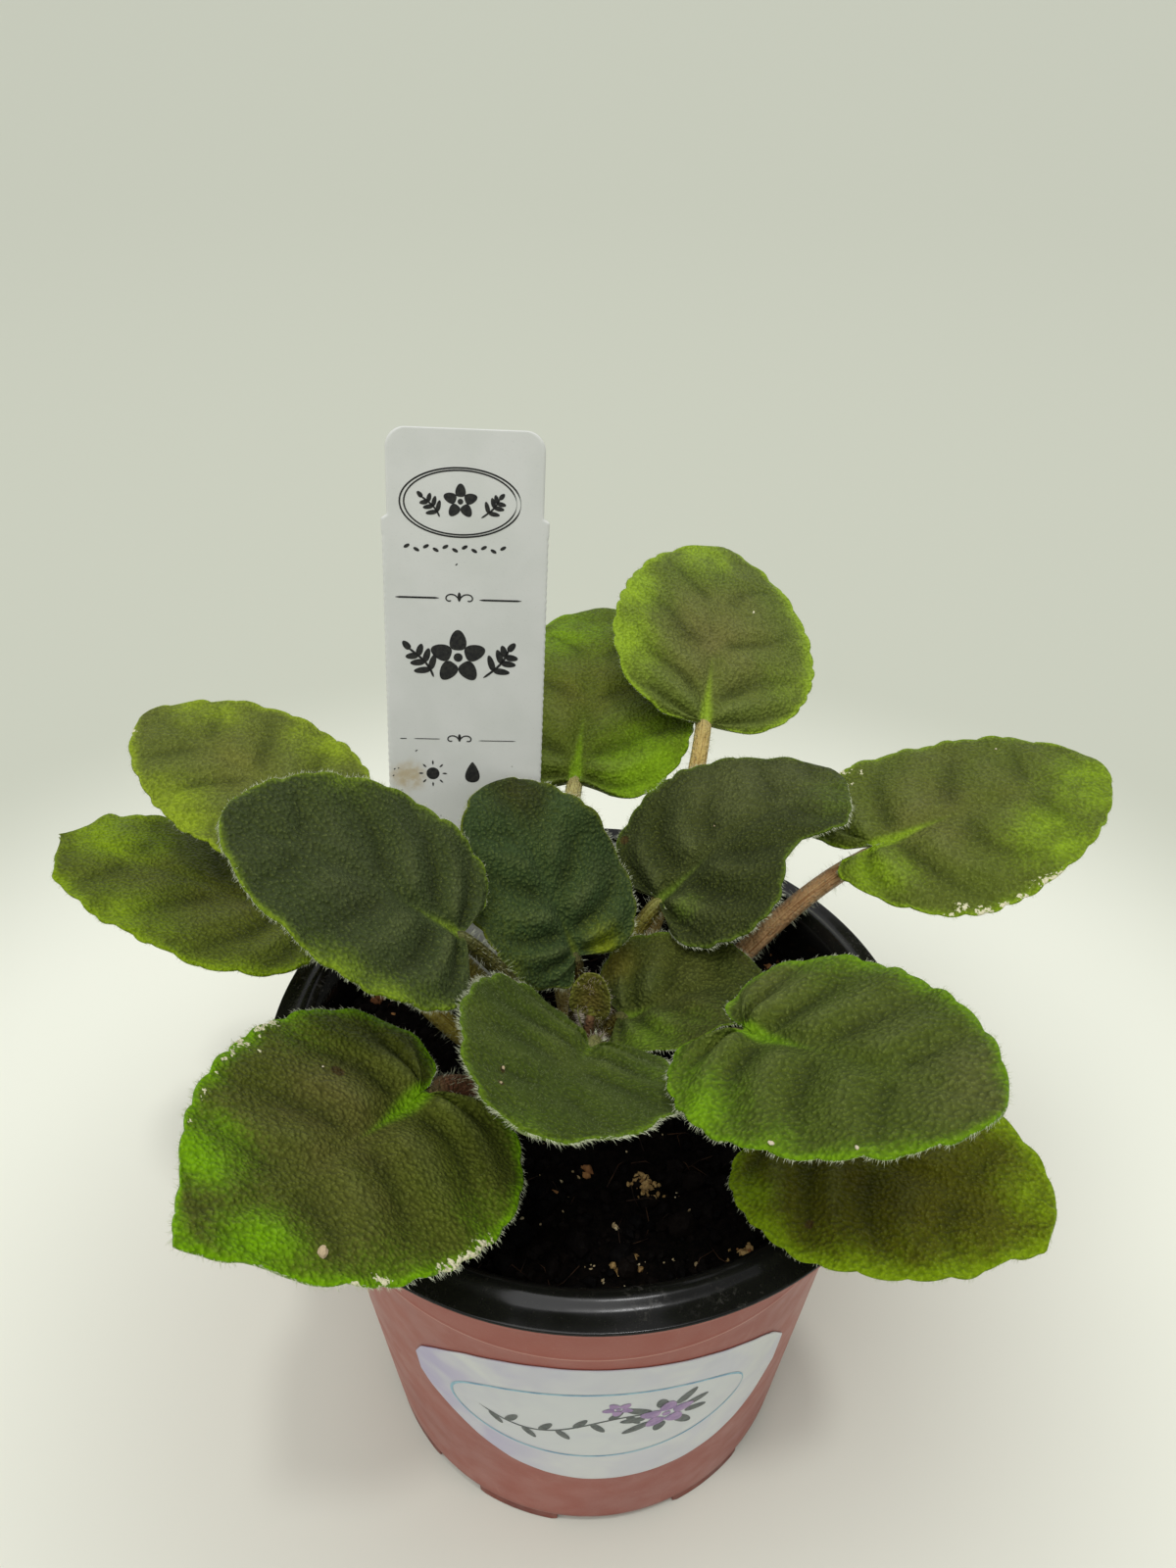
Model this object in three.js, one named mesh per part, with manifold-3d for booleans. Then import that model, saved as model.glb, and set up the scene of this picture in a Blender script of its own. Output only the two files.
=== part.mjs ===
// A young african violet in its nursery pot, in millimetres, +Z up.
// The pot stands on z = 0 with its axis on the origin; -Y is the front.
// Pieces: pot, front sticker, soil, crown with its youngest leaves, thirteen leaves, plant tag.

import * as THREE from "three";
import { mergeVertices } from "three/addons/utils/BufferGeometryUtils.js";
import Module from "manifold-3d";

const wasm = await Module();
wasm.setup();

// Pot
const POT_HEIGHT = 92.6;
const RIM_RADIUS = 54;
const RIM_CREST_RADIUS = 49.3;
const NECK_RADIUS = 47.6;
const STEP_HEIGHT = 72.2;
const BASE_RADIUS = 41;
const WALL = 1.2;
const FOOT_HEIGHT = 2.2;
const FLOOR_TOP = 3.8;
const POT_SEGMENTS = 48;
const FOOT_SPAN = 22;
const FOOT_CENTRES = [-107.5, -54, -17.5, 36, 72.5, 126, 162.5, 216];
const DRAIN_RADIUS = 4;
const DRAIN_CIRCLE = 31;

// Distance kept between pieces that touch, and what flat facets take from it on the round wall
const GAP = 0.3;
const FACET_SLACK = 0.13;

// Soil
const SOIL_TOP = 81.6;
const SOIL_BOTTOM = FLOOR_TOP + GAP;
const SOIL_SEGMENTS = 28;
const SOIL_RINGS = [0.22, 0.44, 0.66, 0.86];

// Crown: the short stem every petiole springs from
const CROWN = new THREE.Vector3(-1, -3, 0);
const CROWN_BOTTOM = 70;
const CROWN_TOP = 91.4;
const CROWN_RADIUS = 5.2;
const CROWN_SEGMENTS = 14;

// Plant tag
const TAG_WIDTH = 26;
const TAG_NECK_WIDTH = 24.2;
const TAG_THICKNESS = 0.8;
const TAG_TOP = 180.7;
const TAG_SHOULDER = 168;
const TAG_POINT = 54;
const TAG_TAPER = 22;
const TAG_LEAN_BACK = 0.182;
const TAG_LEAN_SIDE = 0.033;
const TAG_TURN = 4.7;
const TAG_AT = new THREE.Vector3(-22.5, 26.3, 125.7);

// Sticker on the front of the pot
const STICKER_THICKNESS = 0.35;

// Leaves
const BLADE_THICKNESS = 1.2;
const MARGIN_THICKNESS = 0.8;
const MARGIN_STEPS = 20;
const CRENATION = 0.5;
const PETIOLE_SIDES = 6;
const PETIOLE_STEPS = 8;
const MIDRIB_STEPS = 3;
const MIDRIB_REACH = 0.72;

// Each leaf: at = blade notch, heading and rise of the midrib there (degrees), droop = how far the
// midrib bends down to the tip, roll and cup of the blade, length, width, lobe = how far the lobes
// reach back, tip = how pointed, wave = height of the margin's wave, root = bearing and height on the
// crown, lift = slope of the petiole at the root, reach = how far it keeps each end's direction,
// bend = how much steeper than the blade it comes in, stalk = petiole radius, bay = [side, place,
// spread, depth] of a bay in one margin.
const LEAVES = {
  leaf_01: {
    at: [-49, 28, 111], heading: 150, rise: 19, droop: 12, roll: -1, cup: 4,
    length: 42.5, width: 36, lobe: 0.14, tip: 0.03, wave: 0.4,
    root: [157, 85.8], lift: 23, reach: [0.46, 0.28], bend: -9, stalk: 1.8,
  },
  leaf_02: {
    at: [-49.5, 16, 98], heading: 168, rise: 15, droop: 4, roll: 10, cup: 2,
    length: 48, width: 40.5, lobe: 0.14, tip: 0, wave: -0.6,
    root: [202, 85.3], lift: 8, reach: [0.4, 0.35], bend: -13, stalk: 1.8,
  },
  leaf_03: {
    at: [-19, -9, 119.5], heading: 182, rise: 42, droop: 12, roll: -7, cup: 11,
    length: 39, width: 37.5, lobe: 0.13, tip: 0.02, wave: 0.4,
    root: [192, 88.4], lift: 54, reach: [0.38, 0.3], stalk: 1.7,
  },
  leaf_04: {
    at: [-2.5, 2.5, 104], heading: 127, rise: 56, droop: 30, roll: 3, cup: 8,
    length: 33.5, width: 30, lobe: 0.11, tip: -0.01, wave: 1.7,
    root: [135, 89.6], lift: 75, reach: [0.26, 0.24], stalk: 1.4,
  },
  leaf_05: {
    at: [-4.5, 49, 106], heading: 84, rise: 26, droop: 22, roll: -3, cup: 3,
    length: 50.5, width: 45.5, lobe: 0.12, tip: 0.03, wave: -0.1,
    root: [110, 85.2], lift: 12, reach: [0.39, 0.3], bend: -9, stalk: 1.8,
  },
  leaf_06: {
    at: [21, 56, 115.5], heading: 82, rise: 27, droop: 16, roll: 18, cup: 4,
    length: 49.5, width: 43.5, lobe: 0.01, tip: 0.03, wave: -0.2,
    root: [67, 85.2], lift: 2, reach: [0.48, 0.32], bend: -9, stalk: 1.8,
  },
  leaf_07: {
    at: [10.5, 19, 101.5], heading: 32, rise: 36, droop: 32, roll: 0, cup: 7,
    length: 42, width: 39, lobe: 0.09, tip: 0.04, wave: -0.5,
    root: [76, 89.1], lift: 8, reach: [0.42, 0.35], bend: 5, stalk: 1.6,
    bay: [-1, 1.3, 0.35, 8],
  },
  leaf_08: {
    at: [48, 30, 105.5], heading: 18, rise: 16, droop: 10, roll: 5, cup: -8,
    length: 50, width: 43, lobe: 0.19, tip: 0.03, wave: 0.5,
    root: [19, 85.9], lift: 5, reach: [0.29, 0.33], bend: 6, stalk: 2,
    bay: [-1, 2.68, 0.49, 8.2],
  },
  leaf_09: {
    at: [4, 0, 93.5], heading: 9, rise: 25, droop: 26, roll: 0, cup: 28,
    length: 26, width: 26.5, lobe: 0.15, tip: 0.01, wave: 0.7,
    root: [20, 89.4], lift: 40, reach: [0.3, 0.3], stalk: 1.2,
  },
  leaf_10: {
    at: [0.5, -15, 104], heading: 255, rise: 36, droop: 9, roll: -13, cup: 30,
    length: 38, width: 37, lobe: 0.16, tip: 0.01, wave: 0.3,
    root: [262, 88], lift: 48, reach: [0.38, 0.3], stalk: 1.7,
    bay: [1, 2.2, 0.5, 3.5],
  },
  leaf_11: {
    at: [19, -24.5, 119], heading: 317, rise: 24, droop: 5, roll: 7, cup: 0,
    length: 39, width: 35.5, lobe: 0.15, tip: 0.03, wave: 0.2,
    root: [325, 88.9], lift: 7, reach: [0.36, 0.29], bend: 53, stalk: 1.6,
  },
  leaf_12: {
    at: [26.5, -23.5, 96.5], heading: 328, rise: 14, droop: 6, roll: 4, cup: 0,
    length: 41, width: 37, lobe: 0.1, tip: 0.01, wave: 0.5,
    root: [340, 85], lift: 10, reach: [0.36, 0.32], stalk: 1.7,
  },
  leaf_13: {
    at: [-22, -24.5, 106], heading: 241, rise: 17, droop: -13, roll: -18, cup: 0,
    length: 44, width: 43.5, lobe: 0.12, tip: 0.07, wave: 0,
    root: [240, 85], lift: 6, reach: [0.5, 0.28], stalk: 1.8,
  },
};

// The smallest leaves, still upright in the middle of the crown; they are one piece with it.
const YOUNG_LEAVES = [
  {
    at: [-1.2, -3, 90.6], heading: 180, rise: 84, droop: 6, roll: 0, cup: 34,
    length: 7.5, width: 4, lobe: 0, tip: 0.04, wave: 0,
  },
  {
    at: [0.4, -4.2, 90.4], heading: 320, rise: 72, droop: 8, roll: 0, cup: 30,
    length: 4.5, width: 3.2, lobe: 0, tip: 0.04, wave: 0,
  },
];

const rad = THREE.MathUtils.degToRad;

// Closed shapes as solids that can be joined and cut
function solidFromArrays(points, faces) {
  const mesh = new wasm.Mesh({
    numProp: 3,
    vertProperties: new Float32Array(points.flatMap((p) => [p.x, p.y, p.z])),
    triVerts: new Uint32Array(faces.flat()),
  });
  return new wasm.Manifold(mesh);
}

function solidFromGeometry(geometry) {
  geometry.deleteAttribute("normal");
  geometry.deleteAttribute("uv");
  const merged = mergeVertices(geometry, 1e-4);
  const mesh = new wasm.Mesh({
    numProp: 3,
    vertProperties: new Float32Array(merged.attributes.position.array),
    triVerts: new Uint32Array(merged.index.array),
  });
  return new wasm.Manifold(mesh);
}

function geometryFromSolid(solid) {
  const mesh = solid.getMesh();
  const geometry = new THREE.BufferGeometry();
  geometry.setAttribute("position", new THREE.BufferAttribute(new Float32Array(mesh.vertProperties), 3));
  geometry.setIndex(new THREE.BufferAttribute(new Uint32Array(mesh.triVerts), 1));
  geometry.computeVertexNormals();
  return geometry;
}

// Profile points are [radius, height]; the lathe turns about +Z
function turned(profile, segments) {
  const geometry = new THREE.LatheGeometry(
    profile.map(([r, z]) => new THREE.Vector2(r, z)),
    segments,
  );
  geometry.rotateX(Math.PI / 2);
  return solidFromGeometry(geometry);
}

// Seeded noise so the soil comes out the same each time
function makeRandom(seed) {
  let state = seed;
  return () => {
    state = (state * 1664525 + 1013904223) % 4294967296;
    return state / 4294967296;
  };
}

// Blade form
function outline(leaf, side, t) {
  const { length, width, lobe, tip, bay } = leaf;
  const front = (length * (1 + lobe)) / 2;
  const middle = (length * (1 - lobe)) / 2;
  let s = middle + front * Math.cos(t);
  s += lobe * length * Math.exp(-(((Math.PI - t) / 0.33) ** 2));
  s += tip * length * Math.exp(-((t / 0.28) ** 2));
  let w = (width / 2) * Math.max(Math.sin(t), 0) ** 0.92 * (1 - 0.16 * Math.cos(t)) / 1.012;
  if (bay && bay[0] === side) {
    w -= bay[3] * Math.exp(-(((t - bay[1]) / bay[2]) ** 2));
  }
  return [s, Math.max(w, 0)];
}

function onMidrib(leaf, t) {
  return leaf.length * ((1 + Math.cos(t)) / 2) ** 1.5 * (1 + leaf.tip);
}

function onBlade(leaf, s, w, lift = 0) {
  const heading = rad(leaf.heading);
  const rise = rad(leaf.rise);
  const bend = rad(leaf.droop) / leaf.length;
  const slope = rise - bend * s;
  const along = (Math.sin(rise) - Math.sin(slope)) / bend;
  const up = (Math.cos(slope) - Math.cos(rise)) / bend;
  const half = leaf.width / 2;
  const cup = rad(Math.abs(leaf.cup) < 0.5 ? 0.5 : leaf.cup);
  const turn = (cup * w) / half;
  let across = (half / cup) * Math.sin(turn);
  let off = (half / cup) * (1 - Math.cos(turn));
  off += leaf.wave * Math.sin((3 * Math.PI * s) / leaf.length + (w < 0 ? 1.3 : 0)) * (w / half) ** 2;
  across -= lift * Math.sin(turn);
  off += lift * Math.cos(turn);
  const roll = rad(leaf.roll);
  const a = across * Math.cos(roll) - off * Math.sin(roll);
  const n = across * Math.sin(roll) + off * Math.cos(roll);
  const level = along - n * Math.sin(slope);
  return new THREE.Vector3(
    leaf.at[0] + level * Math.cos(heading) - a * Math.sin(heading),
    leaf.at[1] + level * Math.sin(heading) + a * Math.cos(heading),
    leaf.at[2] + up + n * Math.cos(slope),
  );
}

// The blade is split along its side veins: cross lines run from the midrib out to the margin, and
// the upper and lower faces share the same split. Every second margin point is drawn in a little.
function blade(leaf, steps, strips, thickness, edge) {
  const points = [];
  const lookup = new Map();
  const vertex = (face, side, i, j) => {
    const end = i === 0 || i === steps;
    const shared = j === 0 || end;
    const key = shared ? `${face} ${i}` : `${face} ${side} ${i} ${j}`;
    if (!lookup.has(key)) {
      const t = (Math.PI * i) / steps;
      const m = onMidrib(leaf, t);
      const [s, w] = outline(leaf, side, t);
      const reach = Math.hypot(s - m, w);
      const inset = i % 2 === 1 && reach > 4 * CRENATION ? CRENATION / reach : 0;
      const v = shared ? 0 : (j / strips) * (1 - inset);
      const depth = end ? edge : THREE.MathUtils.lerp(thickness, edge, j / strips);
      lookup.set(key, points.length);
      points.push(onBlade(leaf, m + (s - m) * v, side * w * v, (face * depth) / 2));
    }
    return lookup.get(key);
  };
  const faces = [];
  const triangle = (a, b, c, flip) => {
    if (a !== b && b !== c && a !== c) {
      faces.push(flip ? [a, c, b] : [a, b, c]);
    }
  };
  for (const side of [1, -1]) {
    for (let i = 0; i < steps; i += 1) {
      for (let j = 0; j < strips; j += 1) {
        for (const face of [1, -1]) {
          const a = vertex(face, side, i, j);
          const b = vertex(face, side, i, j + 1);
          const c = vertex(face, side, i + 1, j + 1);
          const d = vertex(face, side, i + 1, j);
          const flip = side * face < 0;
          triangle(a, b, c, flip);
          triangle(a, c, d, flip);
        }
      }
      const a = vertex(1, side, i, strips);
      const b = vertex(-1, side, i, strips);
      const c = vertex(-1, side, i + 1, strips);
      const d = vertex(1, side, i + 1, strips);
      triangle(a, b, c, side < 0);
      triangle(a, c, d, side < 0);
    }
  }
  return solidFromArrays(points, faces);
}

// A round stalk through the given centres, closed at both ends
function stalk(centres, radii, sides) {
  const points = [];
  const faces = [];
  let across = new THREE.Vector3(0, 0, 1);
  centres.forEach((centre, k) => {
    const before = centres[Math.max(k - 1, 0)];
    const after = centres[Math.min(k + 1, centres.length - 1)];
    const along = after.clone().sub(before).normalize();
    if (k === 0 && Math.abs(along.z) > 0.9) {
      across = new THREE.Vector3(1, 0, 0);
    }
    across = across.clone().addScaledVector(along, -across.dot(along)).normalize();
    const third = along.clone().cross(across);
    for (let i = 0; i < sides; i += 1) {
      const a = (2 * Math.PI * i) / sides;
      const rim = centre.clone().addScaledVector(across, radii[k] * Math.cos(a));
      points.push(rim.addScaledVector(third, radii[k] * Math.sin(a)));
    }
  });
  const last = (centres.length - 1) * sides;
  for (let k = 0; k < centres.length - 1; k += 1) {
    for (let i = 0; i < sides; i += 1) {
      const a = k * sides + i;
      const b = k * sides + ((i + 1) % sides);
      faces.push([a, b, b + sides]);
      faces.push([a, b + sides, a + sides]);
    }
  }
  for (let i = 1; i < sides - 1; i += 1) {
    faces.push([0, i + 1, i]);
    faces.push([last, last + i, last + i + 1]);
  }
  return solidFromArrays(points, faces);
}

// Petiole from the crown to the notch, running on under the blade as its midrib
function petiole(leaf) {
  const bearing = rad(leaf.root[0]);
  const lift = rad(leaf.lift);
  const out = new THREE.Vector3(Math.cos(bearing), Math.sin(bearing), 0);
  const start = CROWN.clone().addScaledVector(out, 2.4);
  start.z = leaf.root[1];
  const drop = BLADE_THICKNESS / 2;
  const end = onBlade(leaf, 0.5, 0, -drop);
  const slope = rad(leaf.rise + (leaf.bend ?? 0));
  const heading = rad(leaf.heading);
  const onward = new THREE.Vector3(
    Math.cos(slope) * Math.cos(heading),
    Math.cos(slope) * Math.sin(heading),
    Math.sin(slope),
  );
  const span = end.distanceTo(start);
  const first = start.clone().addScaledVector(out, span * leaf.reach[0] * Math.cos(lift));
  first.z += span * leaf.reach[0] * Math.sin(lift);
  const second = end.clone().addScaledVector(onward, -span * leaf.reach[1]);
  const curve = new THREE.CubicBezierCurve3(start, first, second, end);
  const centres = curve.getPoints(PETIOLE_STEPS);
  const radii = centres.map((_, k) => leaf.stalk * (1.08 - (0.2 * k) / PETIOLE_STEPS));
  for (let k = 1; k <= MIDRIB_STEPS; k += 1) {
    const share = k / MIDRIB_STEPS;
    const radius = THREE.MathUtils.lerp(leaf.stalk * 0.86, 0.5, share);
    centres.push(onBlade(leaf, leaf.length * MIDRIB_REACH * share, 0, -drop - 0.1));
    radii.push(radius);
  }
  return stalk(centres, radii, PETIOLE_SIDES);
}

// Pot
function potProfile() {
  const inner = BASE_RADIUS - WALL;
  const neckInner = NECK_RADIUS - WALL;
  return [
    [0, FOOT_HEIGHT - 1],
    [8, FOOT_HEIGHT - 1],
    [9.4, FOOT_HEIGHT],
    [BASE_RADIUS - 2.1, FOOT_HEIGHT],
    [BASE_RADIUS - 2.1, 0],
    [BASE_RADIUS - 0.6, 0],
    [BASE_RADIUS - 0.6, FOOT_HEIGHT],
    [BASE_RADIUS, FOOT_HEIGHT],
    [NECK_RADIUS - 0.5, STEP_HEIGHT],
    [NECK_RADIUS, STEP_HEIGHT + 0.5],
    [NECK_RADIUS, POT_HEIGHT - 2.6],
    [NECK_RADIUS + 1.2, POT_HEIGHT - 1.6],
    [RIM_RADIUS - 0.6, POT_HEIGHT - 2.3],
    [RIM_RADIUS, POT_HEIGHT - 2],
    [RIM_RADIUS, POT_HEIGHT - 1.1],
    [RIM_RADIUS - 3.2, POT_HEIGHT - 0.6],
    [RIM_CREST_RADIUS + 0.7, POT_HEIGHT - 0.1],
    [RIM_CREST_RADIUS - 0.3, POT_HEIGHT],
    [NECK_RADIUS - 0.1, POT_HEIGHT - 0.8],
    [neckInner + 0.3, POT_HEIGHT - 2.6],
    [neckInner, STEP_HEIGHT],
    [neckInner - 0.5, STEP_HEIGHT - 1],
    [inner, FLOOR_TOP],
    [0, FLOOR_TOP],
  ];
}

// Wedge between two feet, cut out of the foot ring
function footNotch(from, to) {
  const shape = new THREE.Shape();
  shape.moveTo(34 * Math.cos(rad(from)), 34 * Math.sin(rad(from)));
  for (let k = 0; k <= 4; k += 1) {
    const a = rad(THREE.MathUtils.lerp(from, to, k / 4));
    shape.lineTo(43 * Math.cos(a), 43 * Math.sin(a));
  }
  for (let k = 4; k >= 0; k -= 1) {
    const a = rad(THREE.MathUtils.lerp(from, to, k / 4));
    shape.lineTo(34 * Math.cos(a), 34 * Math.sin(a));
  }
  const geometry = new THREE.ExtrudeGeometry(shape, { depth: FOOT_HEIGHT + 2, bevelEnabled: false });
  geometry.translate(0, 0, -2);
  return solidFromGeometry(geometry);
}

function makePot() {
  let pot = turned(potProfile(), POT_SEGMENTS);
  FOOT_CENTRES.forEach((centre, k) => {
    const next = k + 1 < FOOT_CENTRES.length ? FOOT_CENTRES[k + 1] : FOOT_CENTRES[0] + 360;
    pot = pot.subtract(footNotch(centre + FOOT_SPAN / 2, next - FOOT_SPAN / 2));
  });
  for (const bearing of [45, 135, 225, 315]) {
    const drain = new THREE.CylinderGeometry(DRAIN_RADIUS, DRAIN_RADIUS, 8, 12);
    drain.rotateX(Math.PI / 2);
    drain.translate(DRAIN_CIRCLE * Math.cos(rad(bearing)), DRAIN_CIRCLE * Math.sin(rad(bearing)), 3);
    pot = pot.subtract(solidFromGeometry(drain));
  }
  return pot;
}

// Crown stem; grow widens it for the hole in the soil and for trimming the petioles
function crownStem(grow) {
  const profile = [
    [0, CROWN_BOTTOM - grow],
    [2.6 + grow, CROWN_BOTTOM - grow],
    [CROWN_RADIUS - 1 + grow, CROWN_BOTTOM + 8],
    [CROWN_RADIUS + grow, CROWN_BOTTOM + 14],
    [CROWN_RADIUS - 0.3 + grow, CROWN_TOP - 4],
    [CROWN_RADIUS - 2 + grow, CROWN_TOP - 1 + grow],
    [0, CROWN_TOP + grow],
  ];
  return turned(profile, CROWN_SEGMENTS).translate([CROWN.x, CROWN.y, 0]);
}

// Tag outline in its own plane, x across and y up, grow widens it for the slot in the soil
function tagSolid(grow) {
  const half = TAG_WIDTH / 2 + grow;
  const neck = TAG_NECK_WIDTH / 2 + grow;
  const point = TAG_POINT - TAG_AT.z - grow * 2;
  const shoulder = TAG_SHOULDER - TAG_AT.z;
  const top = TAG_TOP - TAG_AT.z + grow;
  const shape = new THREE.Shape();
  shape.moveTo(-1.5 - grow, point);
  shape.lineTo(1.5 + grow, point);
  shape.lineTo(half, point + TAG_TAPER);
  shape.lineTo(half, shoulder - 1);
  shape.lineTo(half - 0.3, shoulder - 0.3);
  shape.lineTo(neck, shoulder);
  shape.lineTo(neck, top - 3);
  shape.lineTo(neck - 0.9, top - 0.9);
  shape.lineTo(neck - 3, top);
  shape.lineTo(-neck + 3, top);
  shape.lineTo(-neck + 0.9, top - 0.9);
  shape.lineTo(-neck, top - 3);
  shape.lineTo(-neck, shoulder);
  shape.lineTo(-half + 0.3, shoulder - 0.3);
  shape.lineTo(-half, shoulder - 1);
  shape.lineTo(-half, point + TAG_TAPER);
  shape.closePath();
  const depth = TAG_THICKNESS + 2 * grow;
  const geometry = new THREE.ExtrudeGeometry(shape, { depth, bevelEnabled: false });
  geometry.translate(0, 0, -depth / 2);
  const upward = new THREE.Vector3(TAG_LEAN_SIDE, TAG_LEAN_BACK, 1);
  const across = new THREE.Vector3(Math.cos(rad(TAG_TURN)), Math.sin(rad(TAG_TURN)), 0);
  across.addScaledVector(upward, -across.dot(upward) / upward.lengthSq()).normalize();
  const facing = across.clone().cross(upward).normalize();
  geometry.applyMatrix4(new THREE.Matrix4().makeBasis(across, upward, facing));
  geometry.translate(TAG_AT.x, TAG_AT.y, TAG_AT.z);
  return solidFromGeometry(geometry);
}

// Soil: a plug that fills the pot, its top a little uneven and higher about the crown
function makeSoil() {
  const random = makeRandom(7);
  const wallAt = (z) => {
    const share = (z - FLOOR_TOP) / (STEP_HEIGHT - 1 - FLOOR_TOP);
    return THREE.MathUtils.lerp(BASE_RADIUS - WALL, NECK_RADIUS - WALL - 0.5, share) - GAP - FACET_SLACK;
  };
  const neck = NECK_RADIUS - WALL - GAP - FACET_SLACK;
  const levels = [
    [wallAt(SOIL_BOTTOM), SOIL_BOTTOM],
    [wallAt(STEP_HEIGHT - 1), STEP_HEIGHT - 1],
    [neck, STEP_HEIGHT],
    [neck, SOIL_TOP - 1.2],
  ];
  const points = [new THREE.Vector3(0, 0, SOIL_BOTTOM)];
  const ring = (radius, height) => {
    for (let i = 0; i < SOIL_SEGMENTS; i += 1) {
      const a = (2 * Math.PI * i) / SOIL_SEGMENTS;
      points.push(new THREE.Vector3(radius * Math.cos(a), radius * Math.sin(a), height()));
    }
  };
  levels.forEach(([r, z]) => ring(r, () => z));
  [...SOIL_RINGS].reverse().forEach((share) => {
    const mound = 1.6 * (1 - share);
    ring(share * neck, () => SOIL_TOP + mound - 1 + 2 * random());
  });
  const centre = points.length;
  points.push(new THREE.Vector3(0, 0, SOIL_TOP + 1.6));
  const rings = (centre - 1) / SOIL_SEGMENTS;
  const faces = [];
  for (let i = 0; i < SOIL_SEGMENTS; i += 1) {
    const next = (i + 1) % SOIL_SEGMENTS;
    faces.push([0, 1 + next, 1 + i]);
    for (let k = 0; k < rings - 1; k += 1) {
      const a = 1 + k * SOIL_SEGMENTS + i;
      const b = 1 + k * SOIL_SEGMENTS + next;
      faces.push([a, b, b + SOIL_SEGMENTS]);
      faces.push([a, b + SOIL_SEGMENTS, a + SOIL_SEGMENTS]);
    }
    const outer = 1 + (rings - 1) * SOIL_SEGMENTS;
    faces.push([outer + i, outer + next, centre]);
  }
  return solidFromArrays(points, faces).subtract(crownStem(GAP)).subtract(tagSolid(GAP));
}

// Sticker: a shallow arch above and a deep bow below, wrapped round the front of the pot wall. Its
// edge is given by bearings from the front and the heights of both edges there.
function makeSticker() {
  const bearings = [-38, -35.5, -31, -24, -16, -8, 0, 8, 16, 24, 32, 38, 42, 46.5];
  const upper = [51.5, 56, 59.6, 64, 66.6, 68, 68.2, 68, 67, 65.3, 62.6, 59.8, 57, 51.5];
  const lower = [47, 42.6, 38.4, 32.4, 27.5, 25, 23.6, 23.4, 23.8, 24.8, 27, 30.4, 34.5, 43];
  const wallRadius = (z) => {
    const share = (z - FOOT_HEIGHT) / (STEP_HEIGHT - FOOT_HEIGHT);
    return THREE.MathUtils.lerp(BASE_RADIUS, NECK_RADIUS - 0.5, share);
  };
  const rows = 4;
  const columns = bearings.length;
  const points = [];
  for (const layer of [GAP + FACET_SLACK, GAP + FACET_SLACK + STICKER_THICKNESS]) {
    for (let k = 0; k < columns; k += 1) {
      for (let j = 0; j <= rows; j += 1) {
        const z = THREE.MathUtils.lerp(lower[k], upper[k], j / rows);
        const a = rad(-90 + bearings[k]);
        const r = wallRadius(z) + layer;
        points.push(new THREE.Vector3(r * Math.cos(a), r * Math.sin(a), z));
      }
    }
  }
  const at = (layer, k, j) => layer * columns * (rows + 1) + k * (rows + 1) + j;
  const faces = [];
  const quad = (a, b, c, d) => {
    faces.push([a, b, c]);
    faces.push([a, c, d]);
  };
  for (let k = 0; k < columns - 1; k += 1) {
    for (let j = 0; j < rows; j += 1) {
      quad(at(1, k, j), at(1, k + 1, j), at(1, k + 1, j + 1), at(1, k, j + 1));
      quad(at(0, k, j), at(0, k, j + 1), at(0, k + 1, j + 1), at(0, k + 1, j));
    }
    quad(at(0, k, 0), at(0, k + 1, 0), at(1, k + 1, 0), at(1, k, 0));
    quad(at(1, k, rows), at(1, k + 1, rows), at(0, k + 1, rows), at(0, k, rows));
  }
  for (let j = 0; j < rows; j += 1) {
    quad(at(0, 0, j), at(1, 0, j), at(1, 0, j + 1), at(0, 0, j + 1));
    quad(at(1, columns - 1, j), at(0, columns - 1, j), at(0, columns - 1, j + 1), at(1, columns - 1, j + 1));
  }
  return solidFromArrays(points, faces);
}

const part = new THREE.Group();
part.name = "potted_african_violet";

function add(name, solid, color, roughness, metalness = 0) {
  const material = new THREE.MeshStandardMaterial({ color, roughness, metalness });
  material.name = name;
  const mesh = new THREE.Mesh(geometryFromSolid(solid), material);
  mesh.name = name;
  part.add(mesh);
}

add("pot", makePot(), 0x9e5a4e, 0.5);
add("sticker", makeSticker(), 0xd9d8de, 0.45);
add("soil", makeSoil(), 0x1a1512, 1);

let crown = crownStem(0);
for (const young of YOUNG_LEAVES) {
  crown = crown.add(blade(young, 8, 1, 0.9, 0.7));
}
add("crown", crown, 0x8d7a52, 0.8);

const trim = crownStem(GAP);
for (const [name, leaf] of Object.entries(LEAVES)) {
  const whole = blade(leaf, MARGIN_STEPS, 2, BLADE_THICKNESS, MARGIN_THICKNESS).add(petiole(leaf));
  add(name, whole.subtract(trim), 0x47602a, 0.7);
}

add("tag", tagSolid(0), 0xd6d8dc, 0.4);

export default part;
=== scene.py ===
import math

import bmesh
import bpy
import numpy as np
from mathutils import Matrix, Vector


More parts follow.
